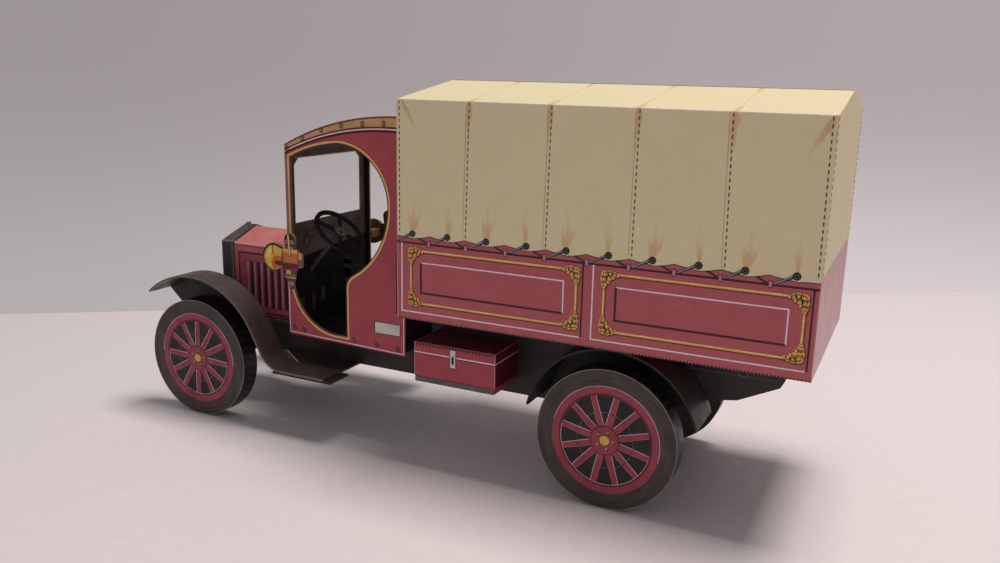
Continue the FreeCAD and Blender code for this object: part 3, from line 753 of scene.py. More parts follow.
@dataclass(frozen=True)
class LampFinish(CardFinish):
    """The lamps' printed brass, pale above and brown below."""

    pale: Colour = (206, 176, 92)
    deep: Colour = (104, 60, 42)
    low: float = 0.0505
    high: float = 0.0590

    def colour(self, bench: Bench, paper: bpy.types.Node) -> Socket:
        """Gives the brass's colour, shaded from its crown to its foot.

        Args:
            bench: The material's bench.
            paper: The printed paper group's node.

        Returns:
            The colour.
        """
        _, _, z = bench.split(bench.spot)
        tone, middle = paper.outputs["Color"], (self.low + self.high) / 2
        for end, tint in ((self.high, self.pale), (self.low, self.deep)):
            tone = bench.mix(bench.product(bench.ramp(z, middle, end), 0.7), tone, linear(tint))
        tone = self.lined(bench, tone)
        cut = bench.place(GROUPS.cut_edge, Sheet_normal=self.sheet_normal)
        return bench.mix(cut.outputs["Mask"], tone, linear(self.core))


@dataclass(frozen=True)
class CoreFinish(CardFinish):
    """The radiator core's printed honeycomb."""

    cell: float = 0.0011
    dark: Colour = (20, 18, 18)

    def colour(self, bench: Bench, paper: bpy.types.Node) -> Socket:
        """Gives the core's colour with its dark cells.

        Args:
            bench: The material's bench.
            paper: The printed paper group's node.

        Returns:
            The colour.
        """
        _, y, z = bench.split(bench.spot)
        waves = (bench.math("SINE", bench.product(v, math.tau / self.cell)) for v in (y, z))
        cells = bench.ramp(bench.product(*waves), 0.0, 0.35)
        return bench.mix(cells, paper.outputs["Color"], linear(self.dark))


@dataclass(frozen=True)
class SpringFinish(CardFinish):
    """The leaf springs' printed leaves."""

    leaf: float = 0.0016
    dark: Colour = (16, 14, 14)

    def colour(self, bench: Bench, paper: bpy.types.Node) -> Socket:
        """Gives the spring's colour with a dark line between its leaves.

        Args:
            bench: The material's bench.
            paper: The printed paper group's node.

        Returns:
            The colour.
        """
        _, _, z = bench.split(bench.spot)
        wave = bench.math("SINE", bench.product(z, math.tau / self.leaf))
        gap = bench.ramp(wave, 0.55, 0.95)
        return bench.mix(gap, paper.outputs["Color"], linear(self.dark))


@dataclass(frozen=True)
class WingFinish(CardFinish):
    """A wing's bent strip of card, cut at its two sides."""

    def colour(self, bench: Bench, paper: bpy.types.Node) -> Socket:
        """Gives the wing's colour with its cut edges.

        Args:
            bench: The material's bench.
            paper: The printed paper group's node.

        Returns:
            The colour.
        """
        tone = self.lined(bench, paper.outputs["Color"])
        return bench.mix(bench.faces(1), tone, linear(self.core))


@dataclass(frozen=True)
class WheelFinish(CardFinish):
    """A tyre: fine rings on its face and a herringbone on its tread."""

    centre: Triple = ORIGIN
    blocks: int = 46
    tread: Colour = (46, 39, 37)
    groove: Colour = (20, 18, 18)
    worn: Colour = (92, 80, 77)

    def colour(self, bench: Bench, paper: bpy.types.Node) -> Socket:
        """Gives the tyre's colour.

        Args:
            bench: The material's bench.
            paper: The printed paper group's node.

        Returns:
            The colour.
        """
        polar = bench.place(GROUPS.polar, Centre=self.centre)
        radius, turn = polar.outputs["Radius"], polar.outputs["Turn"]
        rings = bench.ramp(bench.noise(self.stack(bench, radius, turn), 2.2, 3.0), 0.35, 0.7)
        tone = bench.mix(bench.product(rings, 0.45), paper.outputs["Color"], linear(self.worn))
        y = bench.split(bench.spot)[1]
        lean = bench.product(bench.math("PINGPONG", bench.size_of(y), 0.003), 1100.0)
        phase = bench.math("MULTIPLY_ADD", turn, float(self.blocks), lean)
        bars = bench.ramp(bench.math("SINE", phase), -0.1, 0.35)
        tread = bench.mix(bars, linear(self.groove), linear(self.tread))
        return bench.mix(bench.faces(1), tread, tone)

    @staticmethod
    def stack(bench: Bench, radius: Socket, turn: Socket) -> Socket:
        """Makes coordinates that run round the tyre.

        Args:
            bench: The material's bench.
            radius: The distance from the axle.
            turn: The angle about it.

        Returns:
            The coordinates.
        """
        node = bench.add("ShaderNodeCombineXYZ")
        bench.feed(node.inputs["X"], bench.product(radius, 1400.0))
        bench.feed(node.inputs["Y"], bench.math("COSINE", turn))
        bench.feed(node.inputs["Z"], bench.math("SINE", turn))
        return node.outputs[0]


class InkPot:
    """Makes each ink's material once and hands it out."""

    def __init__(self) -> None:
        """Starts with no ink mixed."""
        self.mixed: dict[Ink, bpy.types.Material] = {}

    def take(self, ink: Ink) -> bpy.types.Material:
        """Gives an ink's material.

        Args:
            ink: The ink.

        Returns:
            Its material.
        """
        if ink not in self.mixed:
            name, first, second, roughness = ink.value
            self.mixed[ink] = CardFinish(
                "ink_" + name, first, second, roughness=roughness, dots=0.35, bump=0.1
            ).material()
        return self.mixed[ink]


INKS = InkPot()

# ---------------------------------------------------------------- drawing and modelling


def deselect() -> None:
    """Leaves edit mode and deselects everything."""
    if bpy.context.object is not None and bpy.context.object.mode != "OBJECT":
        bpy.ops.object.mode_set(mode="OBJECT")
    bpy.ops.object.select_all(action="DESELECT")


def pick(*pieces: Thing) -> None:
    """Selects only these pieces and makes the first one active.

    Args:
        *pieces: The pieces.
    """
    deselect()
    for piece in pieces:
        piece.select_set(True)
    bpy.context.view_layer.objects.active = pieces[0]


def apply_modifier(piece: Thing, kind: str, **settings: object) -> None:
    """Adds a modifier and applies it.

    Args:
        piece: The piece.
        kind: The modifier's type.
        **settings: Its settings.
    """
    pick(piece)
    modifier = piece.modifiers.new(kind.title(), kind)
    for key, value in settings.items():
        setattr(modifier, key, value)
    bpy.ops.object.modifier_apply(modifier=modifier.name)


def point_outwards(piece: Thing) -> None:
    """Points a closed piece's faces outwards.

    Args:
        piece: The piece.
    """
    pick(piece)
    bpy.ops.object.mode_set(mode="EDIT")
    bpy.ops.mesh.select_all(action="SELECT")
    bpy.ops.mesh.normals_make_consistent(inside=False)
    bpy.ops.object.mode_set(mode="OBJECT")


def settle(piece: Thing, matrix: Matrix) -> Thing:
    """Moves a piece by a matrix and leaves its object at the origin.

    Args:
        piece: The piece.
        matrix: The move.

    Returns:
        The piece.
    """
    pick(piece)
    piece.matrix_world = matrix @ piece.matrix_world
    bpy.ops.object.transform_apply(location=True, rotation=True, scale=True)
    return piece


def copy_of(piece: Thing, matrix: Matrix) -> Thing:
    """Copies a piece with its own mesh.

    Args:
        piece: The piece to copy.
        matrix: The copy's move.

    Returns:
        The copy.
    """
    twin = piece.copy()
    twin.data = piece.data.copy()
    bpy.context.scene.collection.objects.link(twin)
    return settle(twin, matrix)


def squeeze(piece: Thing, x: float, y: float, wide: float, tall: float) -> Thing:
    """Squeezes a piece drawn about the origin and moves it.

    Args:
        piece: The piece.
        x: Its new centre across.
        y: Its new centre up.
        wide: Its scale across.
        tall: Its scale up.

    Returns:
        The piece.
    """
    return settle(piece, Matrix.Translation((x, y, 0.0)) @ Matrix.Diagonal((wide, tall, 1.0, 1.0)))


def join(pieces: list[Thing]) -> Thing:
    """Joins pieces into the first one.

    Args:
        pieces: The pieces.

    Returns:
        The joined piece.
    """
    if len(pieces) > 1:
        pick(*pieces)
        bpy.ops.object.join()
    return pieces[0]


def thicken(level: int) -> None:
    """Raises what is selected by layers of ink and leaves edit mode.

    Args:
        level: How many layers of ink it stands proud.
    """
    bpy.ops.mesh.extrude_region_move(TRANSFORM_OT_translate={"value": (0.0, 0.0, LAYER * level)})
    bpy.ops.object.mode_set(mode="OBJECT")


def around(centre: Point, radius: float, start: float, turn: float, steps: int) -> list[Point]:
    """Gives points round a centre.

    Args:
        centre: The centre.
        radius: The radius.
        start: The first point's angle, in degrees.
        turn: The angle to the last point, anticlockwise if positive.
        steps: How many edges there are.

    Returns:
        The points, both ends among them.
    """
    angles = (math.radians(start + turn * k / steps) for k in range(steps + 1))
    return [(centre[0] + radius * math.cos(a), centre[1] + radius * math.sin(a)) for a in angles]


def through(
    first: Point, middle: Point, last: Point, steps: int, swell: float = 0.0
) -> list[Point]:
    """Gives points on the arc through three points, from the first to the last.

    Args:
        first: Where it starts.
        middle: A point on it.
        last: Where it ends.
        steps: How many edges it has.
        swell: How much is added to its radius.

    Returns:
        The points, both ends among them.
    """
    (ax, ay), (bx, by), (cx, cy) = first, middle, last
    a, b, c = (x**2 + y**2 for x, y in (first, middle, last))
    twice = 2.0 * (ax * (by - cy) + bx * (cy - ay) + cx * (ay - by))
    ux = (a * (by - cy) + b * (cy - ay) + c * (ay - by)) / twice
    uy = (a * (cx - bx) + b * (ax - cx) + c * (bx - ax)) / twice
    start, halfway, end = (math.atan2(y - uy, x - ux) for x, y in (first, middle, last))
    turn = math.remainder(halfway - start, math.tau) + math.remainder(end - halfway, math.tau)
    radius = math.hypot(ax - ux, ay - uy) + swell
    return around((ux, uy), radius, math.degrees(start), math.degrees(turn), steps)


class Pen:
    """Draws one chain of edges on the work plane, in millimetres."""

    def __init__(self, x: float, y: float) -> None:
        """Puts the pen down.

        Args:
            x: Where it starts, across.
            y: Where it starts, up.
        """
        deselect()
        bpy.ops.mesh.primitive_plane_add(size=1.0, location=ORIGIN)
        bpy.ops.object.mode_set(mode="EDIT")
        bpy.ops.mesh.select_mode(type="VERT")
        bpy.ops.mesh.merge(type="CENTER")
        bpy.ops.transform.translate(value=(x, y, 0.0))
        self.piece = bpy.context.object
        self.x = x
        self.y = y

    def to(self, *points: Point) -> Pen:
        """Draws straight lines through points.

        Args:
            *points: The points.

        Returns:
            The pen.
        """
        for x, y in points:
            bpy.ops.mesh.extrude_region_move(
                TRANSFORM_OT_translate={"value": (x - self.x, y - self.y, 0.0)}
            )
            self.x = x
            self.y = y
        return self

    def arc(self, centre: Point, degrees: float, steps: int) -> Pen:
        """Draws an arc.

        Args:
            centre: Its centre.
            degrees: How far it turns, anticlockwise if positive.
            steps: How many edges it has.

        Returns:
            The pen.
        """
        dx, dy = self.x - centre[0], self.y - centre[1]
        start = math.degrees(math.atan2(dy, dx))
        return self.to(*around(centre, math.hypot(dx, dy), start, degrees, steps)[1:])

    def line(self, width: float, level: int, closed: bool = False) -> Thing:
        """Ends the chain as a line of even width.

        Args:
            width: The line's width.
            level: How many layers of ink it stands proud.
            closed: Whether the last point is the first one.

        Returns:
            The line.
        """
        bpy.ops.mesh.select_all(action="SELECT")
        if closed:
            bpy.ops.mesh.remove_doubles(threshold=WELD)
        thicken(level)
        apply_modifier(self.piece, "SOLIDIFY", thickness=width, offset=0.0, use_even_offset=True)
        return self.piece

    def patch(self, level: int) -> Thing:
        """Ends the chain as a filled shape.

        Args:
            level: How many layers of ink it stands proud.

        Returns:
            The shape.
        """
        bpy.ops.mesh.select_all(action="SELECT")
        bpy.ops.mesh.remove_doubles(threshold=WELD)
        bpy.ops.mesh.edge_face_add()
        thicken(level)
        return self.piece


def straight(points: list[Point], width: float, level: int) -> Thing:
    """Draws an open line through points.

    Args:
        points: The points.
        width: The line's width.
        level: How many layers of ink it stands proud.

    Returns:
        The line.
    """
    return Pen(*points[0]).to(*points[1:]).line(width, level)


def border(x0: float, y0: float, x1: float, y1: float, width: float, level: int) -> Thing:
    """Draws a rectangle's outline.

    Args:
        x0: Its first edge across.
        y0: Its lower edge.
        x1: Its other edge across.
        y1: Its upper edge.
        width: The line's width.
        level: How many layers of ink it stands proud.

    Returns:
        The outline.
    """
    return Pen(x0, y0).to((x1, y0), (x1, y1), (x0, y1), (x0, y0)).line(width, level, closed=True)


def shape(points: list[Point], level: int) -> Thing:
    """Draws a filled shape.

    Args:
        points: Its corners.
        level: How many layers of ink it stands proud.

    Returns:
        The shape.
    """
    return Pen(*points[0]).to(*points[1:], points[0]).patch(level)


def block(x0: float, y0: float, x1: float, y1: float, level: int) -> Thing:
    """Draws a filled rectangle.

    Args:
        x0: Its first edge across.
        y0: Its lower edge.
        x1: Its other edge across.
        y1: Its upper edge.
        level: How many layers of ink it stands proud.

    Returns:
        The rectangle.
    """
    return shape([(x0, y0), (x1, y0), (x1, y1), (x0, y1)], level)


def disc(x: float, y: float, radius: float, level: int, steps: int) -> Thing:
    """Draws a filled circle.

    Args:
        x: Its centre across.
        y: Its centre up.
        radius: Its radius.
        level: How many layers of ink it stands proud.
        steps: How many edges it has.

    Returns:
        The disc.
    """
    deselect()
    bpy.ops.mesh.primitive_circle_add(
        vertices=steps, radius=radius, fill_type="NGON", location=(x, y, 0.0)
    )
    bpy.ops.object.mode_set(mode="EDIT")
    thicken(level)
    return settle(bpy.context.object, Matrix.Identity(4))


def ring(x: float, y: float, radius: float, width: float, level: int, steps: int) -> Thing:
    """Draws a circle's outline.

    Args:
        x: Its centre across.
        y: Its centre up.
        radius: The radius of the line's middle.
        width: The line's width.
        level: How many layers of ink it stands proud.
        steps: How many edges it has.

    Returns:
        The ring.
    """
    return Pen(x + radius, y).arc((x, y), 360.0, steps).line(width, level, closed=True)


def row(piece: Thing, count: int, dx: float, dy: float = 0.0) -> Thing:
    """Repeats a piece in a row.

    Args:
        piece: The piece.
        count: How many there are.
        dx: The step across.
        dy: The step up.

    Returns:
        The row.
    """
    apply_modifier(
        piece, "ARRAY", count=count, use_relative_offset=False, use_constant_offset=True,
        constant_offset_displace=(dx, dy, 0.0),
    )
    return piece


def dashes(
    start: Point, end: Point, width: float, level: int, dash: float = 0.9, gap: float = 0.72
) -> Thing:
    """Draws a dashed line.

    Args:
        start: Where it starts.
        end: Where it ends.
        width: The line's width.
        level: How many layers of ink it stands proud.
        dash: A dash's length.
        gap: The gap's length.

    Returns:
        The dashes.
    """
    long = math.dist(start, end)
    ux, uy = ((b - a) / long for a, b in zip(start, end))
    piece = straight([start, (start[0] + ux * dash, start[1] + uy * dash)], width, level)
    pitch = dash + gap
    return row(piece, int((long + gap) / pitch), ux * pitch, uy * pitch)


def wall(origin: Triple, across: Triple, up: Triple, out: Triple) -> Matrix:
    """Gives the move from the work plane to a wall of the lorry.

    Args:
        origin: Where the plane's origin goes, in millimetres.
        across: Where X points.
        up: Where Y points.
        out: Where the wall faces.

    Returns:
        The matrix, to metres.
    """
    turn = Matrix((across, up, out)).transposed().to_4x4()
    return Matrix.Scale(MM, 4) @ Matrix.Translation(origin) @ turn


def side_wall(y: float) -> Matrix:
    """Gives the wall that faces left, with X across and Z up.

    Args:
        y: Its distance from the middle, in millimetres.

    Returns:
        The move to it.
    """
    return wall((0.0, y, 0.0), AHEAD, UP, LEFT)


def rear_face(x: float) -> Matrix:
    """Gives a wall that faces backward, with Y across and Z up.

    Args:
        x: Where it stands, in millimetres.

    Returns:
        The move to it.
    """
    return wall((x, 0.0, 0.0), LEFT, UP, BACK)


def enrol(piece: Thing, name: str, body: str = "lorry") -> None:
    """Names a new piece and gives it its body.

    Args:
        piece: The piece.
        name: Its name.
        body: The body it rides on.
    """
    piece.name = name
    piece.data.name = name
    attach(piece, body)


class PrintSheet:
    """Collects print in several inks for one wall, and lays it there."""

    def __init__(self, name: str, slot: Slot, body: str = "lorry") -> None:
        """Starts an empty sheet.

        Args:
            name: The first part of its pieces' names.
            slot: The material slot of the card under it, kept but not used.
            body: The body it rides on.
        """
        self.name = name
        self.slot = slot
        self.body = body
        self.marks: dict[Ink, list[Thing]] = {}

    def add(self, ink: Ink, *pieces: Thing) -> None:
        """Adds print in one ink.

        Args:
            ink: The ink.
            *pieces: The print.
        """
        self.marks.setdefault(ink, []).extend(pieces)

    def lines(self, *marks: tuple[Ink, list[Point], float, int]) -> None:
        """Adds open lines.

        Args:
            *marks: Each line's ink, points, width and layers of ink.
        """
        for ink, points, width, level in marks:
            self.add(ink, straight(points, width, level))

    def shapes(self, *marks: tuple[Ink, list[Point], int]) -> None:
        """Adds filled shapes.

        Args:
            *marks: Each shape's ink, corners and layers of ink.
        """
        for ink, points, level in marks:
            self.add(ink, shape(points, level))

    def stamp(
        self, model: dict[Ink, Thing], moves: list[Matrix], slip: Matrix | None = None
    ) -> None:
        """Adds copies of a model, and removes it.

        Args:
            model: The model's print in each ink.
            moves: Each copy's move.
            slip: The further move of its shade, or None.
        """
        for move in moves:
            for ink, piece in model.items():
                shaded = slip is not None and ink is Ink.GOLD_SHADE
                self.add(ink, copy_of(piece, slip @ move if shaded else move))
        for piece in model.values():
            bpy.data.objects.remove(piece)

    def lay(self, matrix: Matrix, both_sides: bool = True) -> None:
        """Joins each ink's print and lays it on the wall.

        Args:
            matrix: The move to the wall.
            both_sides: Whether a mirrored copy goes on the other side of the lorry.
        """
        for ink, pieces in self.marks.items():
            piece = settle(join(pieces), matrix)
            piece.data.materials.clear()
            piece.data.materials.append(INKS.take(ink))
            twins = {"": piece}
            if both_sides:
                twins = {"_left": piece, "_right": copy_of(piece, MIRROR)}
            for ending, twin in twins.items():
                point_outwards(twin)
                enrol(twin, f"{self.name}_{ink.value[0]}{ending}", self.body)
        LOG.info("%s: print in %d inks", self.name, len(self.marks))


def dress(finish: CardFinish, *nodes: str) -> bpy.types.Material:
    """Makes a finish and gives it to CAD nodes.

    Args:
        finish: The finish.
        *nodes: The nodes' names.

    Returns:
        The finish's material.
    """
    material = finish.material()
    for node in nodes:
        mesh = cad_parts[node].data
        mesh.materials.clear()
        mesh.materials.append(material)
    LOG.info("%s: %s", finish.name, ", ".join(nodes))
    return material


def both(stem: str) -> tuple[str, ...]:
    """Gives the names of a node on both sides.

    Args:
        stem: The name without its side.

    Returns:
        The two names.
    """
    return tuple(f"{stem}_{side.word}" for side in Side)


# ---------------------------------------------------------------- the load


@dataclass
class CargoBox:
    """The red tray with its printed panels, in millimetres on the left side."""

    rear: float = -103.2
    front: float = 6.8
    half_width: float = 31.25
    rail: float = 65.5
    panel_foot: float = 46.3
    panels: tuple[Point, ...] = ((5.3, -47.3), (-50.0, -101.9))
    frame_inset: Point = (2.9, 1.7)
    frame_ends: Point = (48.9, 63.5)
    inner_inset: Point = (6.0, 5.1)
    inner_ends: Point = (51.9, 60.3)
    shade: Point = (-0.12, -0.16)
    tooth: float = 0.85
    tooth_ends: Point = (44.02, 44.5)
    lobes: tuple[Triple, ...] = (
        (0.2, -0.2, 1.05), (1.35, 0.15, 0.85), (-0.1, -1.4, 0.9), (2.4, 0.0, 0.72),
        (0.0, -2.6, 0.78), (1.05, -1.05, 0.8), (3.2, -0.15, 0.5), (0.0, -3.5, 0.5),
        (2.0, -0.85, 0.5), (0.8, -2.1, 0.5),
    )

    def dress(self) -> None:
        """Gives the tray its card."""
        dress(CardFinish(
            "red_card_tray", (162, 62, 70), (172, 76, 80), core=(226, 190, 192), coat=0.9,
            fold_box=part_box("cargo_box"), fold_width=0.00035, fold_wear=0.3,
        ), "cargo_box")

    def corner(self) -> dict[Ink, Thing]:
        """Draws one gold scroll corner, its corner at the origin and its arms to +X and -Y.

        Returns:
            The corner's print in each ink.
        """
        lobes = self.lobes
        return {
            Ink.GOLD_SHADE: join([disc(x, y, r + 0.16, 2, 14) for x, y, r in lobes]),
            Ink.GOLD: join([disc(x, y, r, 4, 14) for x, y, r in lobes]),
            Ink.YELLOW: join([disc(x + 0.05, y + 0.15, r * 0.55, 5, 10) for x, y, r in lobes]),
            Ink.BROWN: join([
                Pen(x - r * 0.45, y).arc((x, y), -150.0, 6).line(0.22, 6) for x, y, r in lobes[:6]
            ]),
        }

    def gold_frame(self, sheet: PrintSheet, front: float, rear: float) -> None:
        """Draws one panel's gold frame with its four corners, shaded to its left and below.

        Args:
            sheet: The side's sheet.
            front: The frame's front edge.
            rear: Its rear edge.
        """
        foot, top = self.frame_ends
        for ink, dx, dy, width, level in (
            (Ink.GOLD_SHADE, *self.shade, 0.95, 2), (Ink.GOLD, 0.0, 0.0, 0.62, 3),
            (Ink.GOLD_LIGHT, 0.0, 0.08, 0.22, 4),
        ):
            sheet.add(ink, border(rear + dx, foot + dy, front + dx, top + dy, width, level))
        sheet.stamp(self.corner(), [
            Matrix.Translation((x, y, 0.0)) @ Matrix.Diagonal((wide, tall, 1.0, 1.0))
            for y, tall in ((top, 1.0), (foot, -1.0)) for x, wide in ((rear, 1.05), (front, -1.05))
        ], Matrix.Translation((*self.shade, 0.0)))

    def build(self) -> None:
        """Dresses the tray and prints the panels on both long sides."""
        self.dress()
        sheet = PrintSheet("tray_print", Slot.RED)
        sheet.lines((Ink.DARK, [(self.rear + 0.2, self.rail), (self.front, self.rail)], 0.5, 2))
        foot, (low, top) = self.panel_foot, self.inner_ends
        for front, rear in self.panels:
            left, right = front - self.inner_inset[0], rear + self.inner_inset[1]
            sheet.lines(
                (Ink.WHITE, [(front, self.rail), (front, foot), (rear + 0.4, foot)], 0.36, 2),
                (Ink.DARK, [(rear, self.rail), (rear, foot + 0.1)], 0.42, 2),
                (Ink.WHITE, [(left, top), (right, top), (right, low)], 0.34, 2),
                (Ink.DARK, [(right, low), (left, low), (left, top)], 0.52, 3),
            )
            self.gold_frame(sheet, front - self.frame_inset[0], rear + self.frame_inset[1])
        x, (low, top) = self.rear, self.tooth_ends
        tooth = shape([(x, low), (x + self.tooth, low), (x + self.tooth / 2, top)], 2)
        sheet.add(Ink.BLACK, row(tooth, int((self.front - x) / self.tooth), self.tooth))
        sheet.lay(side_wall(self.half_width))


@dataclass
class CanvasCover:
    """The printed canvas with its seams, eyelets, cleats and lacing, in millimetres."""

    rear: float = -103.2
    front: float = 6.8
    half_width: float = 31.25
    hem: float = 68.1
    eave: float = 103.6
    ridge: float = 108.6
    eyelets: tuple[float, ...] = (
        1.95, -8.8, -20.3, -31.7, -42.6, -53.7, -64.7, -75.8, -86.5, -97.85,
    )
    eyelet_z: float = 68.05
    cleats: tuple[float, ...] = (7.9, -3.2, -14.3, -25.9, -36.8, -48.2, -58.9, -70.1, -81.0, -92.3)
    cleat_z: float = 65.6
    seams: tuple[Point, ...] = ((-14.2, -14.85), (-37.0, -37.5), (-59.5, -59.6), (-81.8, -81.1))
    end_seams: tuple[Point, ...] = ((6.0, 6.0), (-102.4, -102.1))
    end_dashes: float = 30.4

    def dress(self) -> bpy.types.Material:
        """Gives the cover its canvas.

        Returns:
            The canvas.
        """
        low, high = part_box("canvas_cover")
        past = Vector((1.0, 0.0, 0.0))
        low.z, high.z = 0.0, self.eave * MM
        return dress(CanvasFinish(
            "cream_canvas", (216, 201, 163), (208, 192, 154), core=(226, 216, 214), mottle=0.3,
            dots=0.05, roughness=0.6, fold_box=(low - past, high + past), fold_width=0.0003,
            fold_wear=0.7,
        ), "canvas_cover")

    def edge(self) -> list[Point]:
        """Gives the canvas's lower edge, which hangs a little over the tray.

        Returns:
            Its points, from front to rear.
        """
        edge = [(self.front - 0.02, 67.25)]
        for x in self.eyelets:
            edge += [(x - 0.4, 66.75), (x - 2.2, 66.95), (x - 5.4, 67.72), (x - 7.4, 67.35)]
        return [*edge[:-2], (self.rear + 0.02, 67.0)]

    def hang_hem(self, canvas: bpy.types.Material) -> None:
        """Hangs the canvas's lower edge over both long sides.

        Args:
            canvas: The canvas.
        """
        hem = shape([(self.rear + 0.02, self.hem), (self.front - 0.02, self.hem), *self.edge()], 3)
        settle(hem, side_wall(self.half_width))
        hem.data.materials.append(canvas)
        for side, piece in zip(Side, (hem, copy_of(hem, MIRROR))):
            point_outwards(piece)
            enrol(piece, "canvas_hem_" + side.word)

    def lacing(self, sheet: PrintSheet) -> None:
        """Draws the eyelets, the cleats and the rope between them.

        Args:
            sheet: The side's sheet.
        """
        ez, cz = self.eyelet_z, self.cleat_z
        for index, (ex, cx) in enumerate(zip(self.eyelets, self.cleats)):
            sheet.add(Ink.BLACK, disc(ex, ez, 0.95, 5, 16))
            sheet.add(Ink.GREY, ring(ex, ez, 0.5, 0.2, 6, 14))
            sheet.shapes((Ink.ROPE, [
                (cx - 0.7, cz - 0.15), (ex + 0.75, ez - 0.72), (ex + 0.35, ez + 0.5),
                (cx - 0.8, cz + 0.45),
            ], 4))
            sheet.lines((Ink.STEEL, [(cx - 0.9, cz + 0.25), (ex + 0.7, ez - 0.05)], 0.18, 5))
            if index:
                sheet.lines((Ink.ROPE, [(cx + 3.2, 67.0), (cx + 0.5, cz + 0.1)], 0.5, 4))
                sheet.add(Ink.PINK, block(cx - 0.4, 64.9, cx + 0.4, 66.4, 5))
                sheet.add(Ink.DARK, border(cx - 0.44, 64.86, cx + 0.44, 66.44, 0.14, 6))

    def build(self) -> None:
        """Dresses the cover and prints it."""
        self.hang_hem(self.dress())
        sheet = PrintSheet("canvas_print", Slot.CREAM)
        low, high = self.hem + 0.3, self.eave - 0.2
        for foot, head in (*self.seams, *self.end_seams):
            sheet.add(Ink.STITCH, dashes((foot, low), (head, high), 0.3, 2))
        for foot, head in self.seams:
            sheet.lines((Ink.HEM, [(foot + 0.8, low), (head + 0.8, high)], 0.22, 1))
        sheet.lines((Ink.STITCH, self.edge(), 0.22, 4))
        self.lacing(sheet)
        sheet.lay(side_wall(self.half_width))
        end = PrintSheet("canvas_end_print", Slot.CREAM)
        # The stitch row on the rear face is printed near black, darker than the stitch ink: painted
        # shade against the sheen of the grazing view.
        end.add(Ink.NIGHT, dashes((self.end_dashes, low), (self.end_dashes, high), 0.95, 1))
        end.lay(rear_face(self.rear))
        slope = math.atan2(self.ridge - self.eave, self.half_width)
        cos, sin = math.cos(slope), math.sin(slope)
        roof = PrintSheet("canvas_roof_print", Slot.CREAM)
        roof.lines((Ink.STITCH, [(self.rear + 0.1, 0.5), (self.front - 0.1, 0.5)], 0.7, 1))
        roof.lay(wall((0.0, 0.0, self.ridge), AHEAD, (0.0, cos, -sin), (0.0, sin, cos)))


# ---------------------------------------------------------------- the cab


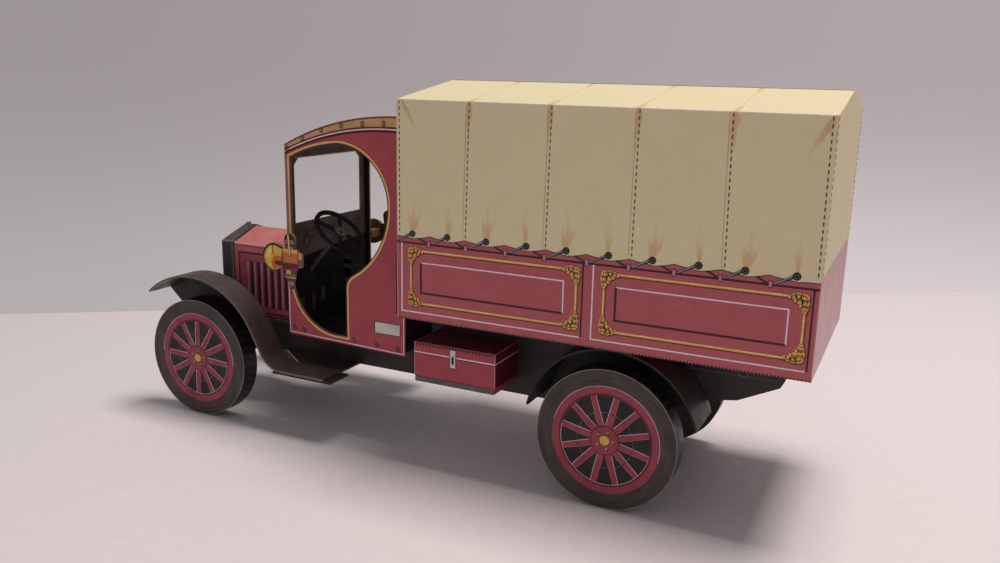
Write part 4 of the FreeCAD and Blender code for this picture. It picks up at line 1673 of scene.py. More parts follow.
@dataclass
class Cab:
    """The open cab with its band, door line, pillars and studs, in millimetres on the left side."""

    rear: float = 11.15
    half_width: float = 21.1
    roof_centre: Point = (13.4, 13.4)
    roof_radius: float = 85.0
    crown_ends: tuple[Point, Point] = ((52.8, 89.03), (10.8, 98.36))
    ticks: int = 34
    band_foot: tuple[Point, Point, Point] = ((52.7, 87.15), (33.4, 93.55), (10.9, 95.05))
    rivets: tuple[Point, ...] = (
        (51.7, 87.6104), (45.9, 90.7728), (39.0, 93.566), (31.9, 95.05), (24.6, 95.85),
        (17.5, 96.25),
    )
    studs: tuple[Point, ...] = (
        (50.5, 32.6), (47.0, 32.2), (28.2, 31.6), (20.2, 31.45), (12.9, 31.15),
    )
    plate: tuple[float, float, float, float] = (12.4, 34.8, 21.2, 38.3)

    def dress(self) -> None:
        """Gives the cab's sheets their card."""
        red = {"ink": (160, 62, 72), "second": (170, 76, 84)}
        lined = {"lining": (82, 55, 46), "lining_second": (56, 38, 33)}
        for side in Side:
            dress(CardFinish(
                "red_card_cab_" + side.word, **red, core=(150, 104, 74), sheet_normal=LEFT,
                lining=(44, 32, 30), lining_second=(30, 22, 20), lining_normal=side.inwards,
            ), "cab_side_" + side.word)
        dress(CardFinish(
            "red_card_dash", **red, core=(120, 92, 62), sheet_normal=AHEAD, **lined,
            lining_normal=BACK,
        ), "cab_front_wall")
        dress(CardFinish(
            "black_card_rear_wall", (40, 28, 30), (30, 22, 24), **lined, lining_normal=AHEAD,
        ), "cab_rear_wall")
        dress(CardFinish(
            "tan_card_roof", (178, 138, 104), (164, 124, 92), core=(190, 160, 140),
            lining=(92, 66, 54), lining_second=(72, 50, 42),
        ), "cab_roof")
        dress(CardFinish("brown_card_floor", (48, 38, 32), (34, 27, 24), mottle=0.9), "cab_floor")

    def doorway(self, away: float) -> list[Point]:
        """Gives the doorway's outline, moved outwards.

        Args:
            away: How far outside the cut edge it runs.

        Returns:
            The outline's points, closed.
        """
        brow = through((50.8, 85.0), (42.2, 88.3), (33.6, 89.8), 10, away)
        toe = through((28.4, 51.6), (30.4, 49.9), (31.3, 47.6), 5, -away)
        return [
            (50.8 + away, 48.1), (50.8 + away, 85.0 + 0.7 * away), *brow[1:],
            *around((33.6, 72.6), 17.2 + away, 90.0, 90.0, 20)[1:],
            *around((40.8, 72.6), 24.4 + away, 180.0, 57.0, 14)[1:], *toe[1:],
            (31.3 - away, 32.1 - away), (34.8, 32.1 - away),
            *around((34.8, 48.1), 16.0 + away, -90.0, 90.0, 18)[1:],
        ]

    def band(self, sheet: PrintSheet) -> None:
        """Draws the tan band under the roof with its rivets and pinstripe.

        Args:
            sheet: The side's sheet.
        """
        (cx, cz), radius, ticks = self.roof_centre, self.roof_radius, self.ticks
        foot = through(*self.band_foot, 16)
        start, end = (math.degrees(math.atan2(z - cz, x - cx)) for x, z in self.crown_ends)
        crown = around((cx, cz), radius - 0.3, start, end - start, 16)
        sheet.shapes((Ink.TAN, foot + crown[::-1], 1))
        sheet.lines((Ink.MAUVE, crown, 0.42, 2))
        turn = (end - start) / ticks
        rims = (
            around((cx, cz), radius - drop, start + turn / 2, turn * (ticks - 1), ticks - 1)
            for drop in (0.62, 0.1)
        )
        sheet.lines(*((Ink.DARK, list(pair), 0.22, 3) for pair in zip(*rims)))
        for ink, drop, width, level in (
            (Ink.BROWN, 0.0, 0.36, 3), (Ink.WHITE, 0.52, 0.32, 3), (Ink.DARK, 1.1, 0.55, 2),
        ):
            sheet.lines((ink, [(x, z - drop) for x, z in foot], width, level))
        for x, z in self.rivets:
            sheet.add(Ink.BROWN, squeeze(ring(0.0, 0.0, 0.66, 0.38, 3, 16), x, z, 0.82, 1.0))
            sheet.lines((Ink.BROWN, [(x, z - 0.34), (x, z + 0.34)], 0.18, 3))

    def stud(self) -> dict[Ink, Thing]:
        """Draws one printed stud, lit from above.

        Returns:
            The stud's print in each ink.
        """
        shine = Pen(0.1, 0.9).arc((0.0, 0.0), 110.0, 8).line(0.18, 2)
        face = disc(0.02, 0.0, 0.68, 3, 16)
        return {Ink.DARK: disc(0.12, -0.12, 0.86, 2, 18), Ink.MAUVE: face, Ink.PINK: shine}

    def build(self) -> None:
        """Dresses the cab and prints both its sides."""
        self.dress()
        sheet = PrintSheet("cab_print", Slot.RED)
        self.band(sheet)
        for ink, away, width, level in (
            (Ink.BROWN, 0.5, 1.1, 2), (Ink.GOLD, 0.62, 0.64, 3), (Ink.GOLD_LIGHT, 0.72, 0.22, 4),
        ):
            first, *rest = self.doorway(away)
            sheet.add(ink, Pen(*first).to(*rest).line(width, level, closed=True))
        rear = self.rear
        sheet.lines(
            (Ink.DUSK, [(52.3, 47.0), (52.3, 86.2)], 0.9, 1),
            (Ink.WHITE, [(52.62, 47.6), (52.62, 30.75), (rear, 29.5), (rear, 43.9)], 0.26, 5),
            (Ink.DARK, [(13.6, 41.5), (13.6, 60.0)], 0.24, 2),
            (Ink.PINK, [(13.25, 41.0), (13.25, 60.0)], 0.14, 2),
        )
        sheet.stamp(self.stud(), [Matrix.Translation((x, z, 0.0)) for x, z in self.studs])
        sheet.add(Ink.PLATE, block(*self.plate, 2))
        sheet.add(Ink.BLACK, border(*self.plate, 0.2, 3))
        sheet.lay(side_wall(self.half_width))


@dataclass
class Cockpit:
    """What is printed and glued inside the cab, in millimetres."""

    wall: float = 52.3
    gauge: Point = (12.2, 58.0)
    gauge_size: float = 2.2
    pedals: tuple[Triple, ...] = ((15.2, 35.4, 40.2), (9.6, 35.2, 40.5), (4.7, 37.2, 41.8))
    hub_centre: Triple = (41.3, 10.2, 61.2)
    hub_rise: float = 0.8
    rake: float = 48.0
    lever: Triple = (40.0, 8.0, 30.8)
    lever_foot: Triple = (1.8, 0.6, 0.6)
    lever_steps: tuple[Point, ...] = ((16.0, 0.8), (3.5, 1.0), (0.8, 1.7), (2.2, 1.0), (0.6, 0.5))

    def dress(self) -> None:
        """Gives the seat and the steering their card."""
        dress(CardFinish("brown_card_seat", (70, 48, 40), (50, 34, 30), mottle=0.9), "seat_bench")
        dress(CardFinish(
            "black_card_steering", (22, 17, 18), (36, 18, 21), core=(42, 32, 32), mottle=0.8,
            roughness=0.85,
        ), "steering_wheel")
        dress(
            CardFinish("grey_card_column", (76, 74, 68), (56, 54, 50), mottle=0.8),
            "steering_column",
        )

    def dashboard(self) -> None:
        """Prints the dashboard, the pedals and painted shade below the dash on the front wall's
        inner face.
        """
        sheet = PrintSheet("dash_print", Slot.RED)
        (y, z), size = self.gauge, self.gauge_size
        for ink, mark in (
            (Ink.BLACK, disc(0.0, 0.0, size + 0.2, 2, 24)),
            (Ink.GOLD_SHADE, ring(0.0, 0.0, size, 0.3, 3, 24)),
            (Ink.BROWN, disc(0.0, 0.0, size * 0.62, 3, 20)),
        ):
            sheet.add(ink, squeeze(mark, y, z, 0.82, 1.15))
        sheet.lines(
            (Ink.DUSK, [(y, z), (y + 0.5, z + 1.0)], 0.24, 4),
            (Ink.BROWN, [(-20.0, 63.2), (20.0, 63.2)], 1.2, 1),
            (Ink.BLACK, [(-20.3, 61.2), (20.3, 61.2)], 0.4, 2),
        )
        # The front wall below the dash is painted near black: painted shade deep in the cab.
        sheet.shapes((Ink.NIGHT, [(-20.4, 30.6), (20.4, 30.6), (20.4, 53.0), (-20.4, 56.0)], 1))
        for y, low, high in self.pedals:
            sheet.lines((Ink.BROWN, [(y, low), (y, high)], 1.9, 3))
            sheet.add(Ink.BLACK, border(y - 1.0, low, y + 1.0, high, 0.2, 4))
        sheet.lines((Ink.YELLOW, [(-17.0, 84.4), (17.0, 84.4)], 0.24, 2))
        sheet.lay(rear_face(self.wall), both_sides=False)

    def hub(self) -> None:
        """Glues the printed hub with its pale ring on the steering wheel."""
        sheet = PrintSheet("steering_hub", Slot.STEERING)
        sheet.add(Ink.GREY, disc(0.0, 0.0, 2.3, 2, 20))
        sheet.add(Ink.STEEL, ring(0.0, 0.0, 1.25, 0.36, 3, 20))
        sheet.add(Ink.BLACK, disc(0.0, 0.0, 0.7, 4, 16))
        cos, sin = math.cos(math.radians(self.rake)), math.sin(math.radians(self.rake))
        out = (-cos, 0.0, sin)
        centre = Vector(self.hub_centre) + Vector(out) * self.hub_rise
        sheet.lay(wall(centre, LEFT, (sin, 0.0, cos), out), both_sides=False)

    def hand_lever(self) -> None:
        """Glues the black hand lever on the cab's floor."""
        deselect()
        bpy.ops.mesh.primitive_cube_add(size=1.0, location=[v * MM for v in self.lever])
        piece = bpy.context.object
        piece.scale = [v * MM for v in self.lever_foot]
        bpy.ops.object.transform_apply(location=True, rotation=True, scale=True)
        bpy.ops.object.mode_set(mode="EDIT")
        bpy.ops.mesh.select_mode(type="FACE")
        for height, swell in self.lever_steps:
            self.pick_top(piece)
            rise = (0.0, 0.0, height * MM)
            bpy.ops.mesh.extrude_region_move(TRANSFORM_OT_translate={"value": rise})
            bpy.ops.transform.resize(value=(swell, swell, 1.0))
        bpy.ops.object.mode_set(mode="OBJECT")
        apply_modifier(piece, "BEVEL", width=0.12 * MM, segments=2, limit_method="ANGLE")
        piece.data.materials.append(INKS.take(Ink.BLACK))
        enrol(piece, "hand_lever")

    @staticmethod
    def pick_top(piece: Thing) -> None:
        """Selects a piece's top face in edit mode.

        Args:
            piece: The piece.
        """
        bpy.ops.object.mode_set(mode="OBJECT")
        top = max(v.co.z for v in piece.data.vertices)
        for face in piece.data.polygons:
            face.select = face.center.z > top - 1e-6
        bpy.ops.object.mode_set(mode="EDIT")

    def build(self) -> None:
        """Dresses and prints the cab's inside."""
        self.dress()
        self.dashboard()
        self.hub()
        self.hand_lever()


@dataclass
class SideLamp:
    """The oil side lamps' printed outlines, in millimetres on the left lamp's card."""

    face: float = 27.1
    neck: float = 49.94
    back: float = 44.14
    tail: float = 42.74
    stem: float = 47.04
    middle: float = 55.3
    glass: float = 4.4
    front: float = 57.2
    gleam: tuple[Point, ...] = ((54.0, 3.4), (55.6, 1.6), (55.9, -0.6), (54.4, 0.4))
    glow: tuple[Point, ...] = ((49.94, -2.6), (53.4, -3.8), (54.2, -1.6), (53.2, 0.4), (49.94, 0.8))
    ember: tuple[Point, ...] = (
        (49.94, -1.0), (52.6, -0.9), (53.0, -1.9), (51.4, -2.3), (49.94, -2.3),
    )
    collars: tuple[tuple[float, float, float, Ink, int], ...] = (
        (52.4, 52.0, 2.6, Ink.MAUVE, 3), (52.0, 50.7, 1.7, Ink.BROWN, 1),
        (50.7, 50.3, 2.2, Ink.DUSK, 3), (50.3, 49.9, 1.9, Ink.BROWN, 2),
        (49.9, 49.5, 2.0, Ink.TAN, 3), (49.5, 48.5, 1.4, Ink.BROWN, 2),
        (48.5, 47.2, 1.2, Ink.DUSK, 2), (47.2, 46.1, 0.6, Ink.BROWN, 2),
    )

    def dress(self) -> None:
        """Gives both lamps their brass."""
        for side in Side:
            # Each lamp's inner face is painted dark brown: painted shade from the cab.
            dress(LampFinish(
                "brass_lamp_card_" + side.word, (190, 118, 56), (166, 94, 42), core=(120, 90, 64),
                mottle=0.8, roughness=0.4, sheet_normal=LEFT, lining=(78, 50, 27),
                lining_second=(56, 37, 27), lining_normal=side.inwards,
            ), "side_lamp_" + side.word)

    def glass_end(self, sheet: PrintSheet) -> None:
        """Draws the lamp's round front, bright above and red below.

        Args:
            sheet: The lamp's sheet.
        """
        mid, neck, lip = self.middle, self.neck, self.front - self.glass
        rise = self.glass - 0.3
        crown = through((lip, mid + rise), (self.front - 0.15, mid), (lip, mid - rise), 18)
        sheet.lines(
            (Ink.BLACK, [(neck + 0.2, mid + 3.2), *crown[:9]], 0.6, 5),
            (Ink.BROWN, [*crown[8:], (neck + 0.3, mid - 3.0)], 0.45, 5),
        )
        sheet.shapes(
            (Ink.YELLOW, [*crown, (neck + 0.1, mid - 2.8), (neck + 0.1, mid + 2.8)], 1),
            (Ink.GOLD_LIGHT, [(x, mid + z) for x, z in self.gleam], 2),
        )
        sheet.lines((Ink.BROWN, [(53.4, mid + 3.8), (53.6, mid + 2.0), (53.0, mid + 0.6)], 0.3, 3))
        sheet.shapes(
            (Ink.ORANGE, [(x, mid + z) for x, z in self.glow], 2),
            (Ink.RED_DEEP, [(x, mid + z) for x, z in self.ember], 3),
        )

    def body(self, sheet: PrintSheet) -> None:
        """Draws the lamp's banded body, its foot's collars and its black cap.

        Args:
            sheet: The lamp's sheet.
        """
        mid, neck, back, stem = self.middle, self.neck, self.back, self.stem
        for x, width in ((neck, 0.3), (back, 0.26)):
            sheet.lines((Ink.BROWN, [(x, mid - 3.0), (x, mid + 3.0)], width, 4))
        for x0, x1, low, high, ink in (
            (neck, back, 1.9, 3.0, Ink.YELLOW), (neck, back, -1.0, 1.9, Ink.ORANGE),
            (neck, back, -3.0, -1.2, Ink.RED_DEEP), (back, self.tail, 0.2, 1.7, Ink.TAN),
            (back, self.tail, -2.0, 0.2, Ink.MAUVE),
        ):
            sheet.add(ink, block(x0, mid + low, x1, mid + high, 1))
        for top, foot, half, ink, level in self.collars:
            sheet.add(ink, block(stem - half, foot, stem + half, top, level))
        cap = through((stem + 1.95, 60.9), (stem, 63.1), (stem - 1.95, 60.9), 12)
        shine = ((-0.3, 50.85), (1.5, 50.85), (1.6, 51.95), (-0.2, 51.8))
        sheet.shapes(
            (Ink.YELLOW, [(stem + x, z) for x, z in shine], 4),
            (Ink.BLACK, [(stem + 1.6, 58.4), *cap, (stem - 1.6, 58.4)], 1),
        )
        for low, wide, high, narrow in ((59.9, 1.65, 61.2, 1.35), (58.45, 1.0, 59.3, 1.25)):
            sheet.shapes((Ink.DUSK, [
                (stem - wide, low), (stem + wide, low), (stem + narrow, high),
                (stem - narrow, high),
            ], 2))
        sheet.lines(
            (Ink.GOLD_SHADE, [(stem + 0.5, 62.8), (stem + 0.1, 56.2)], 0.85, 4),
            (Ink.GOLD_LIGHT, [(stem + 0.5, 62.6), (stem + 0.1, 56.4)], 0.42, 5),
        )

    def build(self) -> None:
        """Dresses the lamps and prints their outer faces."""
        self.dress()
        sheet = PrintSheet("lamp_print", Slot.LAMP)
        self.glass_end(sheet)
        self.body(sheet)
        sheet.lay(side_wall(self.face))


# ---------------------------------------------------------------- the front


@dataclass
class Bonnet:
    """The bonnet's printed louvres and the radiator, in millimetres on the left side."""

    front: float = 82.85
    rear: float = 53.1
    half_width: float = 11.2
    shoulder: float = 54.2
    tooth: float = 0.9
    louvres: tuple[float, ...] = (77.4, 74.5, 71.7, 68.9, 66.1, 63.3, 60.5, 57.7)
    louvre_ends: Point = (33.5, 48.8)

    @staticmethod
    def below(node: str, height: float) -> tuple[Vector, Vector]:
        """Gives a node's box up to a height.

        Args:
            node: The node's name.
            height: The height, in millimetres.

        Returns:
            The box's corners.
        """
        low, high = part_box(node)
        return low, Vector((high.x, high.y, height * MM))

    def dress(self) -> None:
        """Gives the bonnet, the radiator and its cap their card."""
        # The bonnet's top faces are painted a paler salmon than its sides: painted highlight.
        dress(CardFinish(
            "red_card_bonnet", (160, 72, 78), (168, 84, 88), lining=(184, 110, 106),
            lining_second=(174, 98, 96), lining_normal=UP, core=(206, 176, 176),
            fold_box=self.below("bonnet", self.shoulder),
        ), "bonnet")
        dress(CardFinish(
            "black_card_radiator", (40, 38, 38), (50, 47, 45), core=(126, 120, 118), mottle=0.9,
            lining=(74, 67, 62), lining_second=(56, 52, 49), lining_normal=UP,
            fold_box=self.below("radiator_shell", self.shoulder + 0.5), fold_width=0.0006,
            fold_wear=0.5,
        ), "radiator_shell")
        dress(CoreFinish("dark_card_core", (66, 64, 62), (40, 38, 38), mottle=0.5), "radiator_core")
        dress(
            CardFinish("grey_card_cap", (128, 112, 118), (98, 86, 94), roughness=0.4),
            "radiator_cap",
        )

    def build(self) -> None:
        """Dresses the front and prints the louvres on both sides."""
        self.dress()
        sheet = PrintSheet("bonnet_print", Slot.RED)
        x0, x1, step = self.rear, self.front, self.tooth
        sheet.lines(
            (Ink.ROSE, [(x0, 52.5), (82.1, 52.5), (82.1, 30.3)], 1.5, 1),
            (Ink.BLACK, [(x0, 51.3), (81.25, 51.3), (81.25, 31.7)], 0.42, 2),
        )
        tooth = shape([(x0, 54.15), (x0 + step, 54.15), (x0 + step / 2, 53.45)], 2)
        sheet.add(Ink.PINK, row(tooth, int((x1 - x0) / step), step))
        foot, head = self.louvre_ends
        for louvre in self.louvres:
            for ink, dx, inset, width, level in (
                (Ink.DARK, -1.4, 0.2, 1.3, 1), (Ink.MAUVE, 0.0, 0.0, 1.7, 2),
                (Ink.ROSE, 0.15, 0.3, 0.85, 3), (Ink.PINK, 0.3, 0.5, 0.3, 4),
            ):
                x = louvre + dx
                sheet.lines((ink, [(x, foot + inset), (x, head - inset)], width, level))
        sheet.lines(
            (Ink.RED_DEEP, [(x0, 31.5), (80.9, 31.5)], 0.7, 2),
            (Ink.BLACK, [(x0, 30.5), (x1, 30.5)], 0.55, 2),
        )
        sheet.lay(side_wall(self.half_width))


# ---------------------------------------------------------------- the chassis


@dataclass
class Chassis:
    """The frame, the springs and the axles, in millimetres on the left side."""

    half_width: float = 11.5
    rings: tuple[Point, ...] = (
        (-69.4, 37.3), (-84.9, 37.1), (12.0, 27.2), (30.0, 27.2), (44.5, 27.2),
    )

    def dress(self) -> None:
        """Gives the frame, springs and axles their card."""
        dress(
            CardFinish(
                "black_card_frame", (38, 34, 34), (50, 45, 44), core=(88, 82, 78), mottle=0.9
            ),
            *both("frame_side"), "frame_bottom", "frame_bottom_front", "frame_bottom_rear",
            "frame_front_cross", "frame_rear_cross",
        )
        dress(
            SpringFinish("leaf_spring_card", (52, 47, 46), (66, 60, 58), mottle=0.8),
            *both("front_spring"), *both("rear_spring"),
        )
        dress(
            CardFinish("brown_paper_rod", (92, 76, 62), (74, 60, 50), mottle=0.9),
            "front_axle", "rear_axle",
        )

    def build(self) -> None:
        """Dresses the chassis and prints the frame's sides."""
        self.dress()
        sheet = PrintSheet("frame_print", Slot.BLACK)
        for x, z in self.rings:
            sheet.add(Ink.GREY, Pen(x + 1.05, z).arc((x, z), -180.0, 12).line(0.26, 2))
            sheet.add(Ink.BLACK, disc(x, z, 0.8, 1, 14))
        sheet.lines(
            (Ink.GREY, [(-73.7, 30.2), (-73.7, 34.8)], 0.24, 2),
            (Ink.GREY, [(-94.6, 36.4), (-58.0, 36.4)], 0.14, 1),
            (Ink.GREY, [(7.8, 29.5), (96.0, 29.5)], 0.18, 1),
        )
        sheet.add(Ink.GREY, ring(-75.4, 28.5, 0.95, 0.24, 2, 16))
        sheet.lay(side_wall(self.half_width))


@dataclass
class Wings:
    """The wings, their valances and steps."""

    def build(self) -> None:
        """Gives the wings their card."""
        dress(WingFinish(
            "brown_card_wing", (72, 59, 55), (56, 46, 43), core=(104, 94, 88), mottle=0.9,
            lining=(92, 92, 82), lining_second=(72, 72, 66),
        ), *both("front_wing"))
        dress(
            WingFinish(
                "brown_card_rear_wing", (46, 41, 40), (36, 32, 32), core=(20, 18, 18), mottle=0.9
            ),
            *both("rear_wing"), *both("step_layer"),
        )
        dress(
            CardFinish("black_card_valance", (30, 27, 27), (24, 22, 22), core=(80, 73, 70)),
            *both("wing_valance"),
        )


@dataclass
class ToolBox:
    """The tool boxes between the wheels, in millimetres on the left side."""

    rear: float = -21.5
    front: float = 4.1
    half_width: float = 26.8
    hasp: tuple[float, float, float, float] = (-9.3, 30.2, -7.4, 35.5)
    slot: tuple[float, float, float, float] = (-8.7, 31.4, -8.0, 33.6)
    end: tuple[float, float, float, float] = (11.7, 26.4, 26.6, 36.15)
    tooth: float = 1.05

    def dress(self) -> None:
        """Gives both boxes their card."""
        for side in Side:
            node = "toolbox_" + side.word
            # The boxes' top faces are painted dark red: painted shade under the tray.
            dress(CardFinish(
                "red_card_" + node, (156, 60, 70), (166, 72, 80), core=(206, 160, 166),
                fold_box=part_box(node), fold_width=0.0003, fold_wear=0.5, lining=(88, 48, 52),
                lining_second=(68, 36, 40), lining_normal=UP,
            ), node)

    def build(self) -> None:
        """Dresses both boxes and prints their fronts and rear faces."""
        self.dress()
        sheet = PrintSheet("toolbox_print", Slot.RED)
        x0, x1 = self.rear + 0.1, self.front - 0.1
        sheet.lines(
            (Ink.GREY, [(x0 + 0.2, 25.4), (x1 - 0.2, 25.4)], 1.5, 1),
            (Ink.WHITE, [(x0, 33.35), (x1, 33.35)], 0.34, 2),
            (Ink.DARK, [(x0, 33.0), (x1, 33.0)], 0.24, 1),
        )
        outline = ((0.0, 36.22), (1.05, 36.22), (0.85, 35.6), (0.525, 35.1), (0.2, 35.6))
        tooth = shape([(x0 + x, z) for x, z in outline], 2)
        sheet.add(Ink.RED_DEEP, row(tooth, int((x1 - x0) / self.tooth), self.tooth))
        sheet.add(Ink.PLATE, block(*self.hasp, 3))
        sheet.add(Ink.BLACK, border(*self.hasp, 0.18, 4), block(*self.slot, 4))
        sheet.lay(side_wall(self.half_width))
        end = PrintSheet("toolbox_end_print", Slot.RED)
        end.add(Ink.RED_DEEP, block(*self.end, 1))
        end.lines((Ink.WHITE, [(11.9, 33.35), (26.5, 33.35)], 0.3, 2))
        end.lay(rear_face(self.rear))


# ---------------------------------------------------------------- the wheels


@dataclass
class Wheels:
    """The four wheels with their printed spokes, in millimetres about each axle."""

    radius: float = 19.1
    face: float = 29.1
    rim_out: float = 0.766
    rim_in: float = 0.637
    stations: tuple[tuple[str, float, float], ...] = (("front", 84.1, 2.4), ("rear", -54.4, 12.9))
    spokes: int = 12
    bolts: int = 5
    bolt_circle: float = 2.3
    bolt_start: float = 25.1

    def spoke(self, sheet: PrintSheet, turn: float) -> None:
        """Draws one spoke, lit along the edge that is uppermost.

        Args:
            sheet: The wheel's sheet.
            turn: The spoke's angle.
        """
        rim, move = self.rim_in * self.radius, Matrix.Rotation(turn, 4, "Z")
        upper = 1.0 if math.cos(turn + 0.2) > 0 else -1.0
        for ink, mark in (
            (Ink.RED, shape([(3.0, -0.95), (rim + 0.2, -0.78), (rim + 0.2, 0.78), (3.0, 0.95)], 3)),
            (Ink.WHITE, straight([(4.2, 0.88 * upper), (rim, 0.72 * upper)], 0.11, 5)),
            (Ink.PINK, straight([(5.0, -0.88 * upper), (rim, -0.74 * upper)], 0.08, 5)),
        ):
            sheet.add(ink, settle(mark, move))

    def print_face(self, sheet: PrintSheet) -> None:
        """Draws a wheel's face with its centre at the origin and a spoke along X.

        Args:
            sheet: The wheel's sheet.
        """
        big, outer, inner = self.radius, self.rim_out * self.radius, self.rim_in * self.radius
        sheet.add(Ink.STEEL, ring(0.0, 0.0, big - 0.1, 0.1, 1, 64))
        sheet.add(Ink.BLACK, disc(0.0, 0.0, inner + 0.4, 1, 48))
        sheet.add(Ink.MAUVE, ring(0.0, 0.0, 2.95, 0.12, 8, 28))
        sheet.add(Ink.RED_DEEP, disc(0.0, 0.0, 3.95, 6, 32))
        sheet.add(Ink.RED_DEEP, ring(0.0, 0.0, inner + 0.3, 0.55, 4, 64))
        sheet.add(Ink.GREY, ring(0.0, 0.0, 0.4 * big, 0.16, 3, 40))
        sheet.add(Ink.RED, ring(0.0, 0.0, (outer + inner) / 2, outer - inner, 3, 64))
        for x in (outer, -inner):
            sheet.add(Ink.WHITE, Pen(x, 0.0).arc((0.0, 0.0), 180.0, 32).line(0.09, 5))
        for k in range(self.spokes):
            self.spoke(sheet, math.tau * k / self.spokes)
        sheet.add(Ink.RED, disc(0.0, 0.0, 3.7, 7, 32))
        sheet.add(Ink.YELLOW, disc(0.0, 0.0, 1.42, 9, 24))
        sheet.add(Ink.GOLD_SHADE, ring(0.0, 0.0, 1.45, 0.22, 10, 24))
        for x, y in around((0.0, 0.0), self.bolt_circle, self.bolt_start, 360.0, self.bolts)[:-1]:
            sheet.add(Ink.BLACK, disc(x - 0.08, y - 0.14, 0.42, 9, 12))
            sheet.add(Ink.STEEL, disc(x, y, 0.28, 10, 12))

    def build(self) -> None:
        """Dresses the four wheels and prints their faces."""
        for end, x, turn in self.stations:
            for side in Side:
                node = f"wheel_{end}_{side.word}"
                centre = (x * MM, 0.0, self.radius * MM)
                dress(WheelFinish(
                    "tyre_card_" + node, (57, 48, 46), (44, 38, 37), mottle=0.9, centre=centre
                ), node)
                sheet = PrintSheet(node + "_print", Slot.WHEEL, node)
                self.print_face(sheet)
                out = (0.0, float(side.value), 0.0)
                place = wall((x, self.face * side.value, self.radius), AHEAD, UP, out)
                sheet.lay(place @ Matrix.Rotation(math.radians(turn), 4, "Z"), both_sides=False)


# ---------------------------------------------------------------- studio


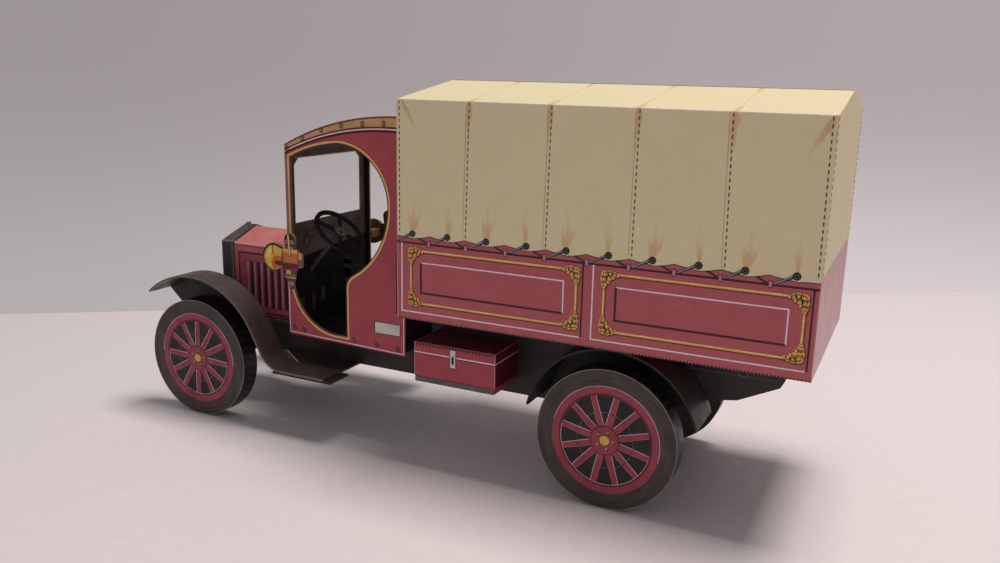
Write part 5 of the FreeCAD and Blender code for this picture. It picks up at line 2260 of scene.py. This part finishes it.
@dataclass
class Studio:
    """The floor, the light and the camera, in metres."""

    location: Triple = (-0.12200, 0.23445, 0.11091)
    yaw: float = -64.378
    pitch: float = 13.2065
    roll: float = 1.235
    focal: float = 0.89079
    sensor: float = 36.0
    floor_yaw: float = -54.2
    floor_beyond: float = 0.1588
    floor_reach: float = 1.1
    floor_width: float = 2.4
    air: tuple[float, ...] = (0.96, 0.98, 1.0, 1.0)
    wall_high: tuple[Colour, Colour] = ((157, 149, 151), (176, 164, 166))
    wall_low: tuple[Colour, Colour] = ((181, 174, 175), (219, 207, 209))
    lamp_place: Triple = (-0.18, -0.07, 0.85)
    lamp_size: Point = (0.31, 0.29)
    lamp_power: float = 5.3
    lamp_tint: Triple = (1.0, 0.97, 0.93)

    def camera(self) -> None:
        """Sets the camera where the photograph was taken."""
        data = bpy.data.cameras.new("camera")
        data.sensor_width = self.sensor
        data.lens = self.focal * self.sensor
        data.clip_start = 0.01
        yaw, pitch, roll = (math.radians(v) for v in (self.yaw, self.pitch, self.roll))
        level = math.cos(pitch)
        view = Vector((level * math.cos(yaw), level * math.sin(yaw), -math.sin(pitch)))
        right = view.cross(Vector(UP)).normalized()
        up = right.cross(view)
        turned = right * math.cos(roll) + up * math.sin(roll)
        raised = up * math.cos(roll) - right * math.sin(roll)
        matrix = Matrix((turned, raised, -view)).transposed().to_4x4()
        matrix.translation = Vector(self.location)
        camera = bpy.data.objects.new("camera", data)
        bpy.context.scene.collection.objects.link(camera)
        camera.matrix_world = matrix
        bpy.context.scene.camera = camera

    def floor(self) -> None:
        """Lays the pale floor, whose far edge stands across the view behind the lorry."""
        deselect()
        bpy.ops.mesh.primitive_grid_add(
            x_subdivisions=8, y_subdivisions=8, size=1.0, location=ORIGIN
        )
        piece = bpy.context.object
        deep = self.floor_reach + self.floor_beyond
        middle = self.floor_beyond - deep / 2
        turn = Matrix.Rotation(math.radians(self.floor_yaw), 4, "Z")
        size = Matrix.Diagonal((deep, self.floor_width, 1.0, 1.0))
        settle(piece, turn @ Matrix.Translation((middle, 0.0, 0.0)) @ size)
        piece.name = "floor"
        finish = CardFinish(
            "pale_floor", (224, 213, 214), (218, 207, 208), mottle=0.5, dots=0.0,
            roughness=0.62, bump=0.05,
        )
        piece.data.materials.append(finish.material())

    def world(self) -> None:
        """Lights the room and paints the wall that the camera sees."""
        world = bpy.data.worlds.new("room")
        bpy.context.scene.world = world
        world.use_nodes = True
        bench = Bench(world.node_tree)
        out = world.node_tree.nodes["World Output"]
        back = world.node_tree.nodes["Background"]
        back.inputs["Color"].default_value = self.air
        wall = bench.add("ShaderNodeBackground")
        wall.inputs["Strength"].default_value = 1.0 / PAPER
        direction = bench.add("ShaderNodeTexCoord").outputs["Generated"]
        ahead, _, rise = bench.split(direction)
        open_sky = bench.math("MULTIPLY_ADD", bench.size_of(rise), -0.27, 0.42)
        bench.feed(back.inputs["Strength"], bench.math("MULTIPLY_ADD", ahead, 0.05, open_sky))
        yaw = math.radians(self.yaw)
        # The wall is painted with its light and shade: darker high up and to the left, lighter low
        # down and to the right.
        across = bench.vector("DOT_PRODUCT", direction, (math.sin(yaw), -math.cos(yaw), 0.0))
        shade = bench.ramp(across, -0.48, 0.47)
        high, low = (
            bench.mix(shade, *(linear(tint) for tint in tints))
            for tints in (self.wall_high, self.wall_low)
        )
        down = bench.math("POWER", bench.ramp(rise, 0.05, -0.25), 1.5)
        bench.feed(wall.inputs["Color"], bench.mix(down, high, low))
        ray = bench.add("ShaderNodeLightPath")
        seen = bench.math("MAXIMUM", ray.outputs["Is Camera Ray"], ray.outputs["Is Glossy Ray"])
        seen = bench.math("MAXIMUM", seen, ray.outputs["Is Transmission Ray"])
        mix = bench.add("ShaderNodeMixShader")
        bench.feed(mix.inputs[0], seen)
        bench.feed(mix.inputs[1], back.outputs[0])
        bench.feed(mix.inputs[2], wall.outputs[0])
        bench.feed(out.inputs["Surface"], mix.outputs[0])

    def lamp(self) -> None:
        """Hangs the soft ceiling lamp, which points straight down."""
        data = bpy.data.lights.new("ceiling_lamp", "AREA")
        data.shape = "RECTANGLE"
        data.size, data.size_y = self.lamp_size
        data.energy = self.lamp_power
        data.color = self.lamp_tint
        lamp = bpy.data.objects.new("ceiling_lamp", data)
        bpy.context.scene.collection.objects.link(lamp)
        lamp.matrix_world = Matrix.Translation(self.lamp_place)

    def build(self) -> None:
        """Builds the studio."""
        self.camera()
        self.floor()
        self.world()
        self.lamp()
        bpy.context.scene.view_settings.view_transform = "Standard"


def main() -> None:
    """Builds the dressed lorry in order."""
    logging.basicConfig(level=logging.INFO, format="%(name)s %(message)s")
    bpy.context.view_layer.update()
    deselect()
    CargoBox().build()
    CanvasCover().build()
    Cab().build()
    Cockpit().build()
    SideLamp().build()
    Bonnet().build()
    Chassis().build()
    Wings().build()
    ToolBox().build()
    Wheels().build()
    Studio().build()


if __name__ == "__main__":
    main()
